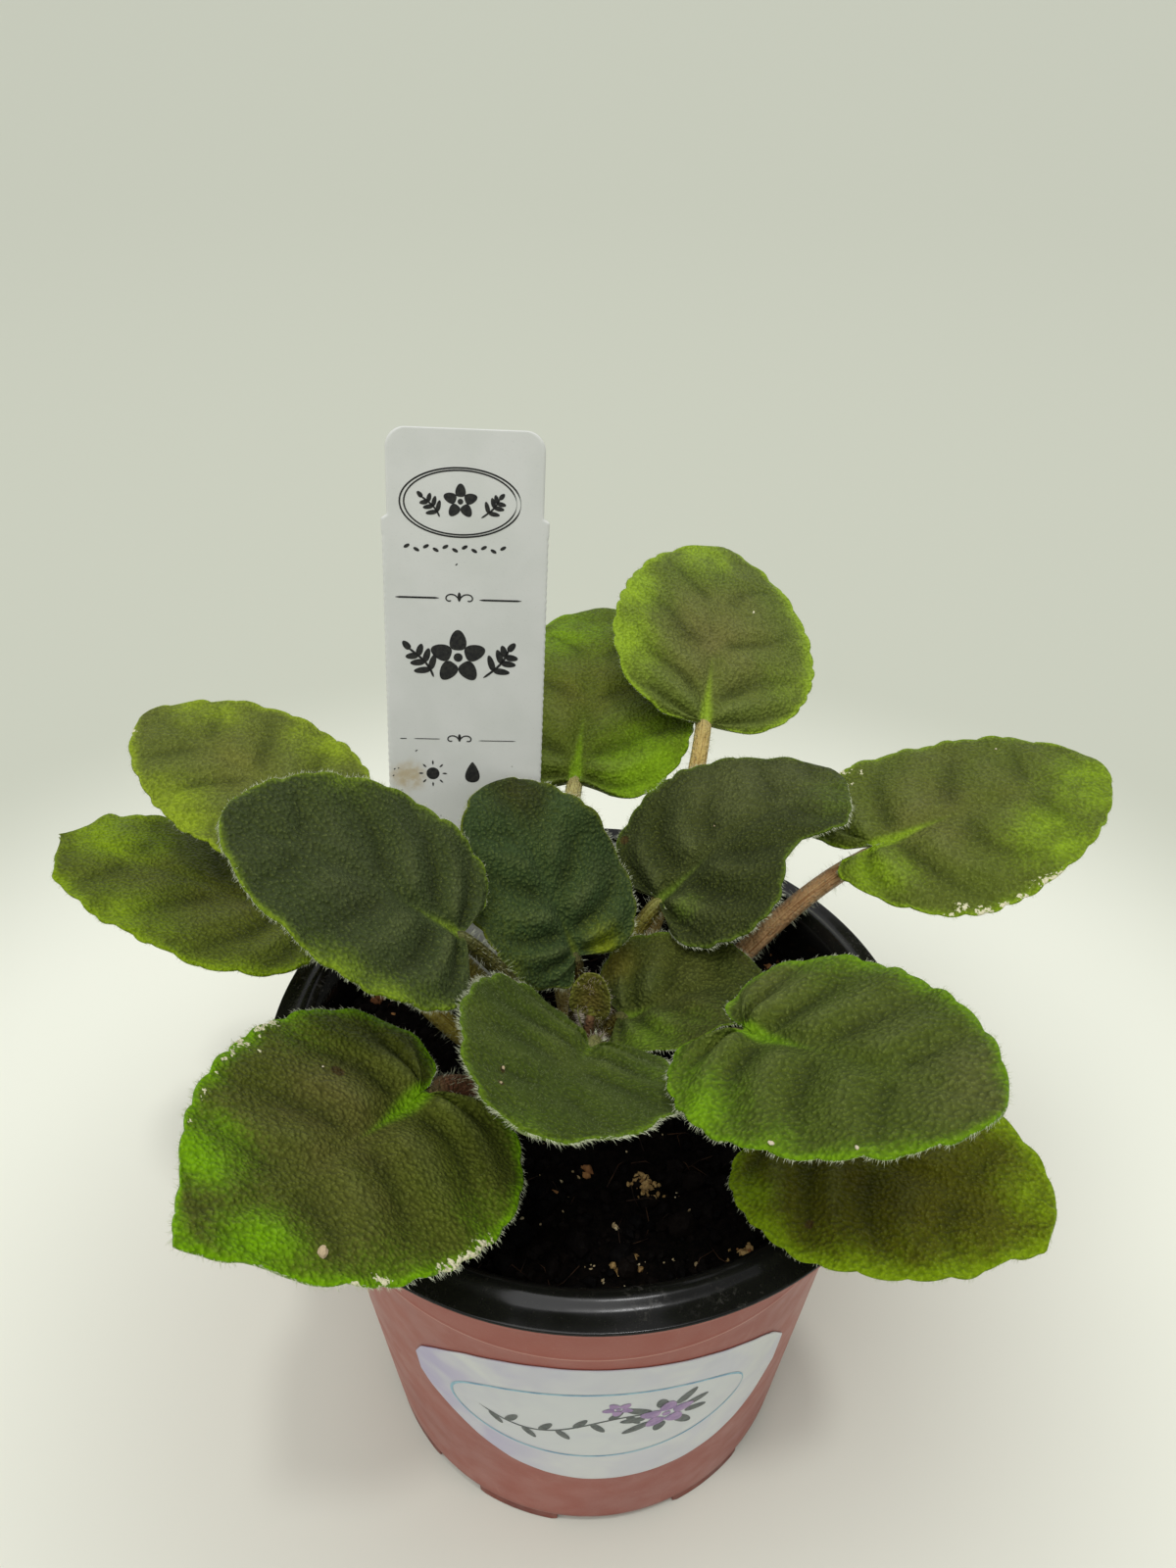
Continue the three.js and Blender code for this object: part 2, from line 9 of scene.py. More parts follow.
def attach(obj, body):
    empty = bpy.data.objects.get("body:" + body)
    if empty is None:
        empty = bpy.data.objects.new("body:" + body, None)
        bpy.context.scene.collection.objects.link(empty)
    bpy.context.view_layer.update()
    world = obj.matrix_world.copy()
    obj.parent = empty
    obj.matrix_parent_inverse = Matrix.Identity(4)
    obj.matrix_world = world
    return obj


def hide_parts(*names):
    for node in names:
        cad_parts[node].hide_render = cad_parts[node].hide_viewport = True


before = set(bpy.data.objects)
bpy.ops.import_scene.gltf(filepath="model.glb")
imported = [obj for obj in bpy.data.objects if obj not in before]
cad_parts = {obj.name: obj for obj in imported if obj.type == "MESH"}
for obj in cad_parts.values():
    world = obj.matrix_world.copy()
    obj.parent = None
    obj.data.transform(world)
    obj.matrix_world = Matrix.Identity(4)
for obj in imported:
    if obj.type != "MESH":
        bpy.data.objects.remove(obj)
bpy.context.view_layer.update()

# A young african violet in its nursery pot. Sizes below are in millimetres; MM turns them to metres.
MM = 0.001
TAU = 2 * math.pi

# Pot, soil, crown and tag sizes, the same as in the solids
POT_HEIGHT = 92.6
RIM_RADIUS = 54
RIM_CREST_RADIUS = 49.3
NECK_RADIUS = 47.6
STEP_HEIGHT = 72.2
BASE_RADIUS = 41
WALL = 1.2
FOOT_HEIGHT = 2.2
FLOOR_TOP = 3.8
FOOT_SPAN = 22
FOOT_CENTRES = (-107.5, -54, -17.5, 36, 72.5, 126, 162.5, 216)
DRAIN_RADIUS = 4
DRAIN_CIRCLE = 31
SOIL_TOP = 81.6
CROWN_AT = np.array([-1.0, -3.0, 0.0])
CROWN_BOTTOM = 70
CROWN_TOP = 91.4
CROWN_RADIUS = 5.2
TAG_WIDTH = 26
TAG_NECK_WIDTH = 24.2
TAG_THICKNESS = 0.8
TAG_TOP = 180.7
TAG_SHOULDER = 168
TAG_POINT = 54
TAG_TAPER = 22
TAG_LEAN_BACK = 0.182
TAG_LEAN_SIDE = 0.033
TAG_TURN = 4.7
TAG_AT = np.array([-22.5, 26.3, 125.7])

# Leaf resolution and form
BLADE_STEPS = 132
BLADE_STRIPS = 26
HALF_MIDDLE = 0.55
HALF_MARGIN = 0.26
TOOTH_PITCH = 4.7
TOOTH_DEPTH = 0.62
TEETH = 200
SIDE_VEINS = 6.2
NOTCH_STEPS = 14
STALK_SIDES = 14
STALK_STEPS = 34
RIB_STEPS = 14
YOUNG_STEPS = 40
YOUNG_STRIPS = 10

# Hairs: widths in mm, then how many on a square mm of a blade's upper and lower face, on each margin of a
# leaf 44 mm long, on a square mm of a petiole (counting half its surface), on the crown and on each of
# its young leaves
DOWN_WIDTH = 0.02
FRINGE_WIDTH = 0.034
STALK_HAIR_WIDTH = 0.026
CROWN_HAIR_WIDTH = 0.03
DOWN_ABOVE = 1.5
DOWN_BELOW = 0.35
FRINGE_HAIRS = 420
STALK_HAIRS = 2.1
CROWN_HAIRS = 2200
YOUNG_HAIRS = 420

# Soil: its radius, the radius crumbs are strewn in and the one they are kept within, and the circle
# round the crown that they leave free
SOIL_RADIUS = 45.95
CRUMB_CIRCLE = 45.2
CRUMB_LIMIT = 46.0
CROWN_CLEAR = 4.5

# Radius of the wall where the sticker's widths were measured, and how far prints stand off the tag's face
# and off the pot's wall
STICKER_WALL = 43.7
TAG_INK = 0.035
STICKER_INK = 0.34
STICKER_FLOWER = 0.38

# Camera, solved from the photograph: angles in radians, place in mm, focal length in pixels of a frame
# that is 1600 pixels high, width of the camera's sensor in mm
CAMERA_PITCH = 0.626822
CAMERA_YAW = -0.00944557
CAMERA_ROLL = 0.0148896
CAMERA_AT = (0, -132.463, 237.705)
FOCAL = 1160
FRAME_HEIGHT = 1600
SENSOR = 36

# Each leaf. USUAL is what a leaf has unless its own lines say otherwise.
# Form, as in the solids: at = notch, heading and rise of the midrib there, droop = bend down to the tip,
# roll and cup of the blade, length, width, lobe, tip, wave, bay = (side, place, spread, depth) of a bay in
# one margin. Petiole: root = bearing and height on the crown, lift, reach, bend, stalk.
# Form, only here: sinus and cleft = depth and width of the slit between the lobes, point = how far the
# tip is drawn out, dip = how much lower the petiole meets the blade, bumps = (side or 0 for both, place,
# spread, along, across) of a piece of margin that is moved.
# Looks: tone = (deep, centre, lime) colours, stem = petiole colour, rim = width of the lime margin, puff =
# how far the blade swells between its side veins, crease = how deep the midrib lies near the notch, stripe
# and flare = strength and width of the pale line there, sheen, down and velvet = colour and length of the
# short hairs, fringe = amount of the long ones, worn = (side, from, to) of a frayed margin, spots and
# chips = (along, across, size) of brown and of torn marks, patches = (along, across, radius, amount) of
# lime where positive and of olive brown where negative, as shares of the length and of half the width.
USUAL = dict(
    sinus=1.0, cleft=0.33, point=0, dip=0, bumps=(), bend=0, bay=None,
    crease=0.4, stripe=0.8, flare=0.8, sheen=0.03, down="717c36", velvet=0.24, fringe=1,
    worn=(), spots=(), chips=(),
)
LEAVES = {
    "leaf_01": dict(
        USUAL, at=(-49, 28, 111), heading=150, rise=19, droop=12, roll=-1, cup=4,
        length=42.5, width=36, lobe=0.14, tip=0.03, wave=0.4,
        root=(157, 85.8), lift=23, reach=(0.46, 0.28), bend=-9, stalk=1.8,
        tone=("586427", "757538", "8ea424"), stem="7c7436", rim=1.6, puff=0.35, fringe=0.4,
        chips=((41.3, 5.4, 1.0), (40.3, 6.9, 0.7)),
        patches=((0.87, -0.46, 0.3, 0.6), (0.5, 0.98, 0.32, 1), (0.32, -0.84, 0.25, 0.7),
                 (0.5, 0.0, 0.35, -0.6), (0.97, 0.3, 0.2, -0.3)),
    ),
    "leaf_02": dict(
        USUAL, at=(-49.5, 16, 98), heading=168, rise=15, droop=4, roll=10, cup=2,
        length=48, width=40.5, lobe=0.14, tip=0.03, wave=-0.6,
        root=(202, 85.3), lift=8, reach=(0.4, 0.35), bend=-13, stalk=1.8,
        bumps=((0, 0, 0.3, -1.9, 0), (-1, 0.62, 0.25, 2.4, 0), (1, 0.66, 0.09, 0.9, 0.2)),
        tone=("4e5c19", "5f5f28", "7f9a14"), stem="8d8238", rim=2.2, puff=0.35, fringe=0.5,
        patches=((0.87, -0.2, 0.3, 0.8), (0.6, 0.85, 0.3, 0.7), (0.3, 0.1, 0.35, -0.9),
                 (0.65, 0.1, 0.3, -0.6)),
    ),
    "leaf_03": dict(
        USUAL, at=(-19, -9, 119.5), heading=182, rise=42, droop=12, roll=-7, cup=11,
        length=39, width=37.5, lobe=0.13, tip=0.02, wave=0.4,
        root=(192, 88.4), lift=54, reach=(0.38, 0.3), stalk=1.4,
        # The dark olive stem colour is partly painted shade, for where the petiole runs under leaf 4.
        tone=("323f20", "464c32", "7a9420"), stem="45431f", rim=1.1, puff=0.45, stripe=0.5, flare=0.5,
        sheen=0.06, down="4e5a38",
        patches=((0.49, 1.05, 0.2, 0.85), (0.28, 1.1, 0.2, 0.8), (0.07, 0.95, 0.2, 0.55),
                 (0.7, -0.9, 0.22, 0.5), (0.54, 0, 0.5, -0.5)),
    ),
    "leaf_04": dict(
        USUAL, at=(-2.5, 2.5, 104), heading=127, rise=56, droop=30, roll=3, cup=8,
        length=33.5, width=30, lobe=0.11, tip=-0.01, wave=1.7,
        root=(135, 89.6), lift=75, reach=(0.26, 0.24), stalk=1.2,
        bumps=((1, 3.0, 0.12, -3.2, 0), (1, 2.75, 0.2, -0.6, 0)),
        tone=("33482a", "2d2d16", "74801a"), stem="3d3018", rim=0.5, puff=0.55, crease=0.7, stripe=0.35,
        flare=0.35, sheen=0.06, down="47523a", fringe=1.2,
        patches=((0.03, -0.36, 0.15, 0.95), (0.12, 0.9, 0.2, 0.35), (0.92, -0.2, 0.28, -1),
                 (0.57, 0.8, 0.2, 0.2), (0.3, -0.8, 0.2, -0.5), (0.24, 0.73, 0.3, 0.3)),
    ),
    "leaf_05": dict(
        USUAL, at=(-4.5, 49, 106), heading=84, rise=26, droop=22, roll=-3, cup=3,
        length=50.5, width=45.5, lobe=0.12, tip=0.03, wave=-0.1,
        root=(110, 85.2), lift=12, reach=(0.39, 0.3), bend=-9, stalk=1.8,
        tone=("4b5e1b", "686a2b", "7ba118"), stem="c2b878", rim=1.8, puff=0.4, fringe=0.35,
        patches=((0.08, -0.6, 0.3, 0.95), (0.85, 0.3, 0.35, 0.55), (0.5, 0, 0.4, -0.8),
                 (0.3, -0.3, 0.35, -0.4)),
    ),
    "leaf_06": dict(
        USUAL, at=(21, 56, 115.5), heading=82, rise=27, droop=16, roll=18, cup=4,
        length=49.5, width=43.5, lobe=0.01, tip=0.03, wave=-0.2,
        root=(67, 85.2), lift=2, reach=(0.48, 0.32), bend=-9, stalk=1.8,
        tone=("5a6b28", "6f6d3c", "92b02c"), stem="c4ab68", rim=2.2, puff=0.4, fringe=0.35,
        chips=((32.4, -7.6, 0.7), (34.4, -8.4, 0.45)),
        patches=((0.6, 0.95, 0.25, 0.8), (0.28, 0.9, 0.25, 0.8), (0.93, 0.3, 0.25, 0.7),
                 (0.45, 0, 0.45, -0.9), (0.3, -0.8, 0.25, 0.3)),
    ),
    "leaf_07": dict(
        USUAL, at=(10.5, 19, 101.5), heading=32, rise=36, droop=32, roll=0, cup=7,
        length=42, width=39, lobe=0.09, tip=0.04, wave=-0.5, bay=(-1, 1.3, 0.35, 8),
        root=(76, 89.1), lift=8, reach=(0.42, 0.35), bend=5, stalk=1.6,
        sinus=1.8,
        # The very dark deep colour is partly the leaf's own dark green and partly painted shade, for the lobe
        # that lies in shade.
        tone=("222b12", "505632", "627b22"), stem="7f7b36", rim=0.7, puff=0.5, crease=0.8, stripe=0.55,
        flare=0.5, down="59643c", fringe=1.2,
        spots=((4.6, 15.0, 0.9),),
        patches=((0.6, 0.55, 0.4, -1), (0.9, 0.2, 0.4, -0.9), (0.35, 0.3, 0.3, -0.6),
                 (0.97, -0.3, 0.3, 0.4), (0.1, -0.3, 0.1, 0.4)),
    ),
    "leaf_08": dict(
        USUAL, at=(48, 30, 105.5), heading=18, rise=16, droop=10, roll=5, cup=-8,
        length=50, width=43, lobe=0.19, tip=0.03, wave=0.5, bay=(-1, 2.68, 0.49, 8.2),
        root=(19, 85.9), lift=5, reach=(0.29, 0.33), bend=6, stalk=2,
        sinus=5.5, dip=1.9, bumps=((1, 2.92, 0.2, 0, -3.4),),
        tone=("546320", "656634", "88a81e"), stem="b08a62", rim=1.2, puff=0.35, crease=0.5, fringe=0.45,
        worn=((-1, 4, 32), (1, 2, 15)),
        chips=((7.5, 16, 0.5), (10.5, 18.2, 0.6), (10, -18.6, 1.3), (13.5, -20.5, 1.2), (17, -21, 1.0),
               (21, -20.8, 1.3), (25.5, -19.6, 1.0)),
        patches=((0.65, -0.55, 0.25, 0.7), (0.95, -0.2, 0.3, 0.6), (0.0, -0.3, 0.2, 0.7),
                 (0.4, 0.1, 0.45, -0.8), (0.5, 0.6, 0.35, -0.5)),
    ),
    "leaf_09": dict(
        USUAL, at=(4, 0, 93.5), heading=9, rise=25, droop=26, roll=0, cup=28,
        length=26, width=26.5, lobe=0.15, tip=0.01, wave=0.7,
        root=(20, 89.4), lift=40, reach=(0.3, 0.3), stalk=1.2,
        tone=("26361a", "6f6828", "627f1c"), stem="5f5a2c", rim=0.5, puff=0.35, crease=2.2, stripe=0.5,
        flare=0.4, down="5f6a38", fringe=1.3,
        patches=((0.1, 0.75, 0.22, -1), (0.9, 0.3, 0.25, -0.3), (0.2, -0.7, 0.35, 0.75),
                 (0.8, -0.6, 0.3, 0.35), (0.5, -0.6, 0.25, 0.4)),
    ),
    "leaf_10": dict(
        USUAL, at=(0.5, -15, 104), heading=255, rise=36, droop=9, roll=-13, cup=30,
        length=38, width=37, lobe=0.16, tip=0.01, wave=0.3, bay=(1, 2.2, 0.5, 3.5),
        root=(262, 88), lift=48, reach=(0.38, 0.3), stalk=1.7,
        sinus=3.8, cleft=0.26,
        tone=("36470f", "4e5c1e", "64821c"), stem="7d7a44", rim=0.9, puff=0.45, crease=1.3, stripe=0.3,
        flare=0.4, sheen=0.08, down="8c9a60", velvet=0.5, fringe=1.5,
        spots=((28.3, -6.8, 0.5), (32, -5.8, 0.5)),
        patches=((0.28, 0, 0.3, -1), (0.6, -0.8, 0.3, -0.9), (0.2, 0.8, 0.25, 0.5), (1, 0, 0.15, 0.5)),
    ),
    "leaf_11": dict(
        USUAL, at=(19, -24.5, 119), heading=317, rise=24, droop=5, roll=7, cup=0,
        length=39, width=35.5, lobe=0.15, tip=0.03, wave=0.2,
        root=(325, 88.9), lift=7, reach=(0.36, 0.29), bend=53, stalk=1.6,
        sinus=3.8, cleft=0.22, dip=1.5, bumps=((1, 3.07, 0.11, -4.6, 0), (1, 2.7, 0.2, 0.8, 0)),
        tone=("455519", "595f30", "6c9612"), stem="7a7440", rim=1.6, puff=0.6, crease=0.9,
        patches=((0.16, -0.95, 0.28, 0.85), (0.03, -0.7, 0.2, 0.5), (0.5, -1.1, 0.25, 0.7),
                 (0.15, 0.9, 0.25, 0.35), (0.95, 0.2, 0.35, -1), (0, 0.5, 0.3, -0.8), (0.55, 0.4, 0.3, -0.5)),
    ),
    "leaf_12": dict(
        USUAL, at=(26.5, -23.5, 96.5), heading=328, rise=14, droop=6, roll=4, cup=0,
        length=41, width=37, lobe=0.1, tip=0.01, wave=0.5,
        root=(340, 85), lift=10, reach=(0.36, 0.32), stalk=1.7,
        sinus=2.5, bumps=((-1, 0.22, 0.1, 0.7, 0.4), (-1, 0.55, 0.2, -1.1, 0)),
        # The dark olive brown centre colour and the brown patches in the middle are partly the leaf's own
        # olive brown and partly painted shade where leaf 11 overhangs it.
        tone=("53570e", "463f0c", "7f9c10"), stem="7d6a3c", rim=3.4, puff=0.45, fringe=0.6,
        spots=((12.8, -13.3, 0.7),),
        patches=((0.05, -0.75, 0.2, 0.7), (0.5, -1, 0.2, 0.7), (0.95, 0.2, 0.2, 0.6),
                 (0.35, -0.4, 0.35, -1), (0.6, -0.1, 0.3, -1), (0.3, 0.4, 0.35, -0.9)),
    ),
    "leaf_13": dict(
        USUAL, at=(-22, -24.5, 106), heading=241, rise=17, droop=-13, roll=-18, cup=0,
        length=44, width=43.5, lobe=0.12, tip=0.08, wave=0,
        root=(240, 85), lift=6, reach=(0.5, 0.28), stalk=1.8,
        sinus=6, cleft=0.2, point=2.4, dip=1.8, bumps=((-1, 3.05, 0.1, -4.6, -1.4), (-1, 2.66, 0.15, 0.6, 0)),
        tone=("4c5719", "5c592c", "6fa008"), stem="6a4636", rim=1.8, puff=0.55, crease=0.8, flare=1.3,
        worn=((1, 13, 38), (-1, 10, 24)), spots=((12.6, -9.5, 1.1),),
        chips=((13.1, -20.6, 0.5), (16.5, -20.9, 0.6), (17.5, -20.2, 0.5), (20.1, -20, 0.6),
               (22, -20.6, 0.7), (23.4, -19.6, 0.6), (25.2, -19.2, 0.6), (28.1, -17.8, 0.5),
               (31, -16.4, 0.6), (32.2, -15.6, 0.45), (19.7, -18, 0.5), (20.9, -18.6, 0.5), (36.6, -13, 0.5)),
        patches=((0.88, -0.45, 0.22, 0.8), (0.95, 0.25, 0.2, 0.75), (0.25, -0.95, 0.22, 0.4),
                 (0.7, 0.95, 0.25, 0.55), (0.3, 0.95, 0.2, 0.4), (0.45, -0.2, 0.45, -1),
                 (0.62, 0.3, 0.3, -0.7)),
    ),
}

YOUNG = dict(
    USUAL, lobe=0.02, tip=-0.02, wave=0, sinus=0, crease=0.2, tone=("585a22", "6a5c2c", "83883a"), rim=0.5,
    puff=0.25, patches=((0.4, 0, 0.5, -1),),
)
YOUNG_LEAVES = [
    dict(YOUNG, at=(-0.2, -2.3, 95.4), heading=88, rise=80, droop=10, roll=-10, cup=34,
         length=8.8, width=7.4),
    dict(YOUNG, at=(-1.2, -3, 90.6), heading=180, rise=84, droop=6, roll=0, cup=34, length=7.5, width=4),
    dict(YOUNG, at=(0.4, -4.2, 90.4), heading=320, rise=72, droop=8, roll=0, cup=30, length=4.5, width=3.2),
]


# Seeded noise on arrays of points
def lattice(cell, seed):
    x, y, z = (cell[..., k].astype(np.int64) for k in range(3))
    h = (x * 374761393 + y * 668265263 + z * 2147483629 + seed * 1274126177) & 0xFFFFFFFF
    h = ((h ^ (h >> 13)) * 1274126177) & 0xFFFFFFFF
    return ((h ^ (h >> 16)) & 0xFFFF) / 65535.0


def cloud(points, size, seed):
    """Smooth noise from -1 to 1 with features of about this size"""
    q = np.asarray(points, float) / size
    base = np.floor(q)
    f = q - base
    f = f * f * (3 - 2 * f)
    total = 0
    for dx in (0, 1):
        for dy in (0, 1):
            for dz in (0, 1):
                weight = np.where(dx, f[..., 0], 1 - f[..., 0])
                weight = weight * np.where(dy, f[..., 1], 1 - f[..., 1])
                weight = weight * np.where(dz, f[..., 2], 1 - f[..., 2])
                total = total + weight * lattice(base + (dx, dy, dz), seed)
    return 2 * total - 1


def pebbles(points, size, seed):
    """Rounded cells of about this size: 1 in the middle of each, falling to 0 where cells meet"""
    q = np.asarray(points, float) / size
    base = np.floor(q)
    nearest = np.full(q.shape[:-1], 9.0)
    for dx in (-1, 0, 1):
        for dy in (-1, 0, 1):
            for dz in (-1, 0, 1):
                cell = base + (dx, dy, dz)
                spot = np.stack([lattice(cell, seed + k) for k in range(3)], -1)
                nearest = np.minimum(nearest, np.linalg.norm(cell + spot - q, axis=-1))
    return np.clip(1 - nearest, 0, 1)


def smoothstep(low, high, x):
    t = np.clip((x - low) / (high - low), 0, 1)
    return t * t * (3 - 2 * t)


def bell(x, width):
    """1 where x is 0, falling off to either side within about this width"""
    return np.exp(-((x / width) ** 2))


# Materials
def linear(text):
    rgb = [int(text[k : k + 2], 16) / 255 for k in (0, 2, 4)]
    return tuple(c / 12.92 if c <= 0.04045 else ((c + 0.055) / 1.055) ** 2.4 for c in rgb) + (1.0,)


class Shader:
    """A node material with short calls for the nodes it needs"""

    def __init__(self, name, **surface):
        self.material = bpy.data.materials.new(name)
        self.material.use_nodes = True
        self.tree = self.material.node_tree
        self.surface = self.tree.nodes["Principled BSDF"]
        self.place = self.add("TexCoord").outputs["Object"]
        for key, value in surface.items():
            self.feed(self.surface.inputs[key.replace("_", " ")], value)

    def feed(self, socket, value):
        if isinstance(value, bpy.types.NodeSocket):
            self.tree.links.new(value, socket)
        else:
            socket.default_value = value

    def add(self, kind, **settings):
        node = self.tree.nodes.new("ShaderNode" + kind)
        for key, value in settings.items():
            setattr(node, key, value)
        return node

    def attribute(self, name):
        return self.add("Attribute", attribute_name=name).outputs["Fac"]

    def stretched(self, x, y, z):
        node = self.add("Mapping")
        self.feed(node.inputs["Vector"], self.place)
        node.inputs["Scale"].default_value = (x, y, z)
        return node.outputs["Vector"]

    def noise(self, size, detail=2.0, roughness=0.5, distortion=0.0, vector=None):
        """Noise with features of about size millimetres"""
        node = self.add("TexNoise")
        self.feed(node.inputs["Vector"], vector or self.place)
        node.inputs["Scale"].default_value = 1 / (size * MM)
        node.inputs["Detail"].default_value = detail
        node.inputs["Roughness"].default_value = roughness
        node.inputs["Distortion"].default_value = distortion
        return node.outputs["Fac"]

    def cells(self, size, feature="F1"):
        node = self.add("TexVoronoi", feature=feature)
        self.feed(node.inputs["Vector"], self.place)
        node.inputs["Scale"].default_value = 1 / (size * MM)
        return node.outputs["Distance"]

    def math(self, operation, a, b=0.0):
        node = self.add("Math", operation=operation)
        self.feed(node.inputs[0], a)
        self.feed(node.inputs[1], b)
        return node.outputs[0]

    def spread(self, value, low, high, to_low=0.0, to_high=1.0):
        node = self.add("MapRange", interpolation_type="SMOOTHSTEP")
        for k, v in enumerate((value, low, high, to_low, to_high)):
            self.feed(node.inputs[k], v)
        return node.outputs[0]

    def scuffs(self, fine, span, patch, patch_span):
        """Fine marks that gather in patches of about patch millimetres"""
        fine = self.spread(fine, *span)
        return self.math("MULTIPLY", fine, self.spread(self.noise(patch, 2), *patch_span))

    def mix(self, share, a, b, blend="MIX"):
        node = self.add("Mix", data_type="RGBA", blend_type=blend)
        self.feed(node.inputs[0], share)
        self.feed(node.inputs[6], linear(a) if isinstance(a, str) else a)
        self.feed(node.inputs[7], linear(b) if isinstance(b, str) else b)
        return node.outputs[2]

    def bump(self, height, distance, before=None):
        """distance is the height of the relief in millimetres"""
        node = self.add("Bump")
        self.feed(node.inputs["Height"], height)
        node.inputs["Distance"].default_value = distance * MM
        node.inputs["Strength"].default_value = 1.0
        if before is not None:
            self.feed(node.inputs["Normal"], before)
        return node.outputs["Normal"]

    def finish(self, colour, roughness=None, normal=None):
        self.feed(self.surface.inputs["Base Color"], colour)
        if roughness is not None:
            self.feed(self.surface.inputs["Roughness"], roughness)
        if normal is not None:
            self.feed(self.surface.inputs["Normal"], normal)
        return self.material


# Meshes
def piece(name, points, faces, materials, slot, stands_for=(), values=None, material_of=None, weld=0.0,
          smooth=True):
    """A mesh piece that rides on the part; points in millimetres, values = numbers kept per point"""
    mesh = bpy.data.meshes.new(name)
    mesh.from_pydata((np.asarray(points, float) * MM).tolist(), [], faces)
    for key, numbers in (values or {}).items():
        layer = mesh.attributes.new(key, "FLOAT", "POINT")
        layer.data.foreach_set("value", np.asarray(numbers, np.float32))
    for material in materials:
        mesh.materials.append(material)
    if material_of is not None:
        mesh.polygons.foreach_set("material_index", np.asarray(material_of, np.int32))
    if weld:
        work = bmesh.new()
        work.from_mesh(mesh)
        bmesh.ops.remove_doubles(work, verts=work.verts, dist=weld * MM)
        bmesh.ops.dissolve_degenerate(work, edges=work.edges, dist=weld * MM * 0.2)
        bmesh.ops.recalc_face_normals(work, faces=work.faces)
        work.to_mesh(mesh)
        work.free()
    mesh.polygons.foreach_set("use_smooth", np.full(len(mesh.polygons), smooth))
    made = bpy.data.objects.new(name, mesh)
    bpy.context.scene.collection.objects.link(made)
    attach(made, "root")
    if stands_for:
        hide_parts(*stands_for)
    return made


class Build:
    """Collects points, faces and per-point numbers of one piece"""

    def __init__(self, *keys):
        self.points = []
        self.faces = []
        self.values = {key: [] for key in keys}
        self.count = 0

    def add(self, points, faces, **values):
        points = np.asarray(points, float).reshape(-1, 3)
        self.faces.extend((np.asarray(f) + self.count).tolist() for f in faces)
        self.points.append(points)
        for key, store in self.values.items():
            store.append(np.broadcast_to(np.asarray(values.get(key, 0.0), float), (len(points),)))
        self.count += len(points)

    def make(self, name, materials, slot, **more):
        values = {key: np.concatenate(store) for key, store in self.values.items()}
        return piece(name, np.concatenate(self.points), self.faces, materials, slot, values=values, **more)


def grid_faces(rows, columns, closed=False):
    """Quads between rows of points; closed joins each row's end to its start"""
    i, j = np.meshgrid(np.arange(rows - 1), np.arange(columns if closed else columns - 1), indexing="ij")
    a = i * columns + j
    b = i * columns + (j + 1) % columns
    return np.stack([a, b, b + columns, a + columns], -1).reshape(-1, 4).tolist()


def tube_points(centres, radii, sides, ridge):
    """Rings of points round a line, without twist, with five slight ridges"""
    centres = np.asarray(centres, float)
    along = np.gradient(centres, axis=0)
    along /= np.linalg.norm(along, axis=1, keepdims=True)
    across = np.array([0.0, 0.0, 1.0]) if abs(along[0, 2]) < 0.9 else np.array([1.0, 0.0, 0.0])
    angle = TAU * np.arange(sides) / sides
    shape = 1 + ridge * np.cos(5 * angle)
    rings = []
    for centre, direction, radius in zip(centres, along, radii):
        across = across - direction * (across @ direction)
        across /= np.linalg.norm(across)
        third = np.cross(direction, across)
        ring = np.outer(np.cos(angle) * shape, across) + np.outer(np.sin(angle) * shape, third)
        rings.append(centre + radius * ring)
    return np.array(rings)


def tube_faces(rings, sides):
    faces = grid_faces(rings, sides, closed=True)
    faces.append(list(range(sides))[::-1])
    faces.append(list(range((rings - 1) * sides, rings * sides)))
    return faces


# Leaf form, as in the solids but for what the list above calls only here
def outline(leaf, side, t):
    """The margin on one side, from the tip at t = 0 to the notch at pi: its places along and across"""
    length, lobe, cleft = leaf["length"], leaf["lobe"], leaf["cleft"]
    s = length * (1 - lobe) / 2 + length * (1 + lobe) / 2 * np.cos(t)
    s = s + lobe * length * bell(math.pi - t, cleft)
    s = s + leaf["tip"] * length * bell(t, 0.28) + leaf["point"] * np.exp(-t / 0.16)
    s = s + leaf["sinus"] * bell(math.pi - t, min(0.17, cleft))
    w = leaf["width"] / 2 * np.maximum(np.sin(t), 0) ** 0.92 * (1 - 0.16 * np.cos(t)) / 1.012
    if leaf["bay"] and leaf["bay"][0] == side:
        _, where, spread, depth = leaf["bay"]
        w = w - depth * bell(t - where, spread)
    for bump_side, where, spread, along, across in leaf["bumps"]:
        if bump_side in (0, side):
            near = bell(t - where, spread)
            ends = np.clip(np.sin(t) / 0.03, 0, 1)
            s, w = s + along * near * (ends if bump_side else 1), w + across * near * ends
    return s, np.maximum(w, 0)


def on_midrib(leaf, t):
    """Where the midrib's points lie that belong to those of the margin"""
    m = leaf["length"] * ((1 + np.cos(t)) / 2) ** 1.5 * (1 + leaf["tip"])
    return m + leaf["sinus"] * bell(math.pi - t, 0.6)


def crease(leaf, s, w):
    """How far the blade sinks to its midrib near the notch"""
    sinus = leaf["sinus"]
    fall = np.exp(-np.maximum(s - sinus, 0) / (0.3 * leaf["length"]))
    return leaf["crease"] * fall * smoothstep(sinus - 1.5, sinus + 2.5, s) * bell(w, 2.6)


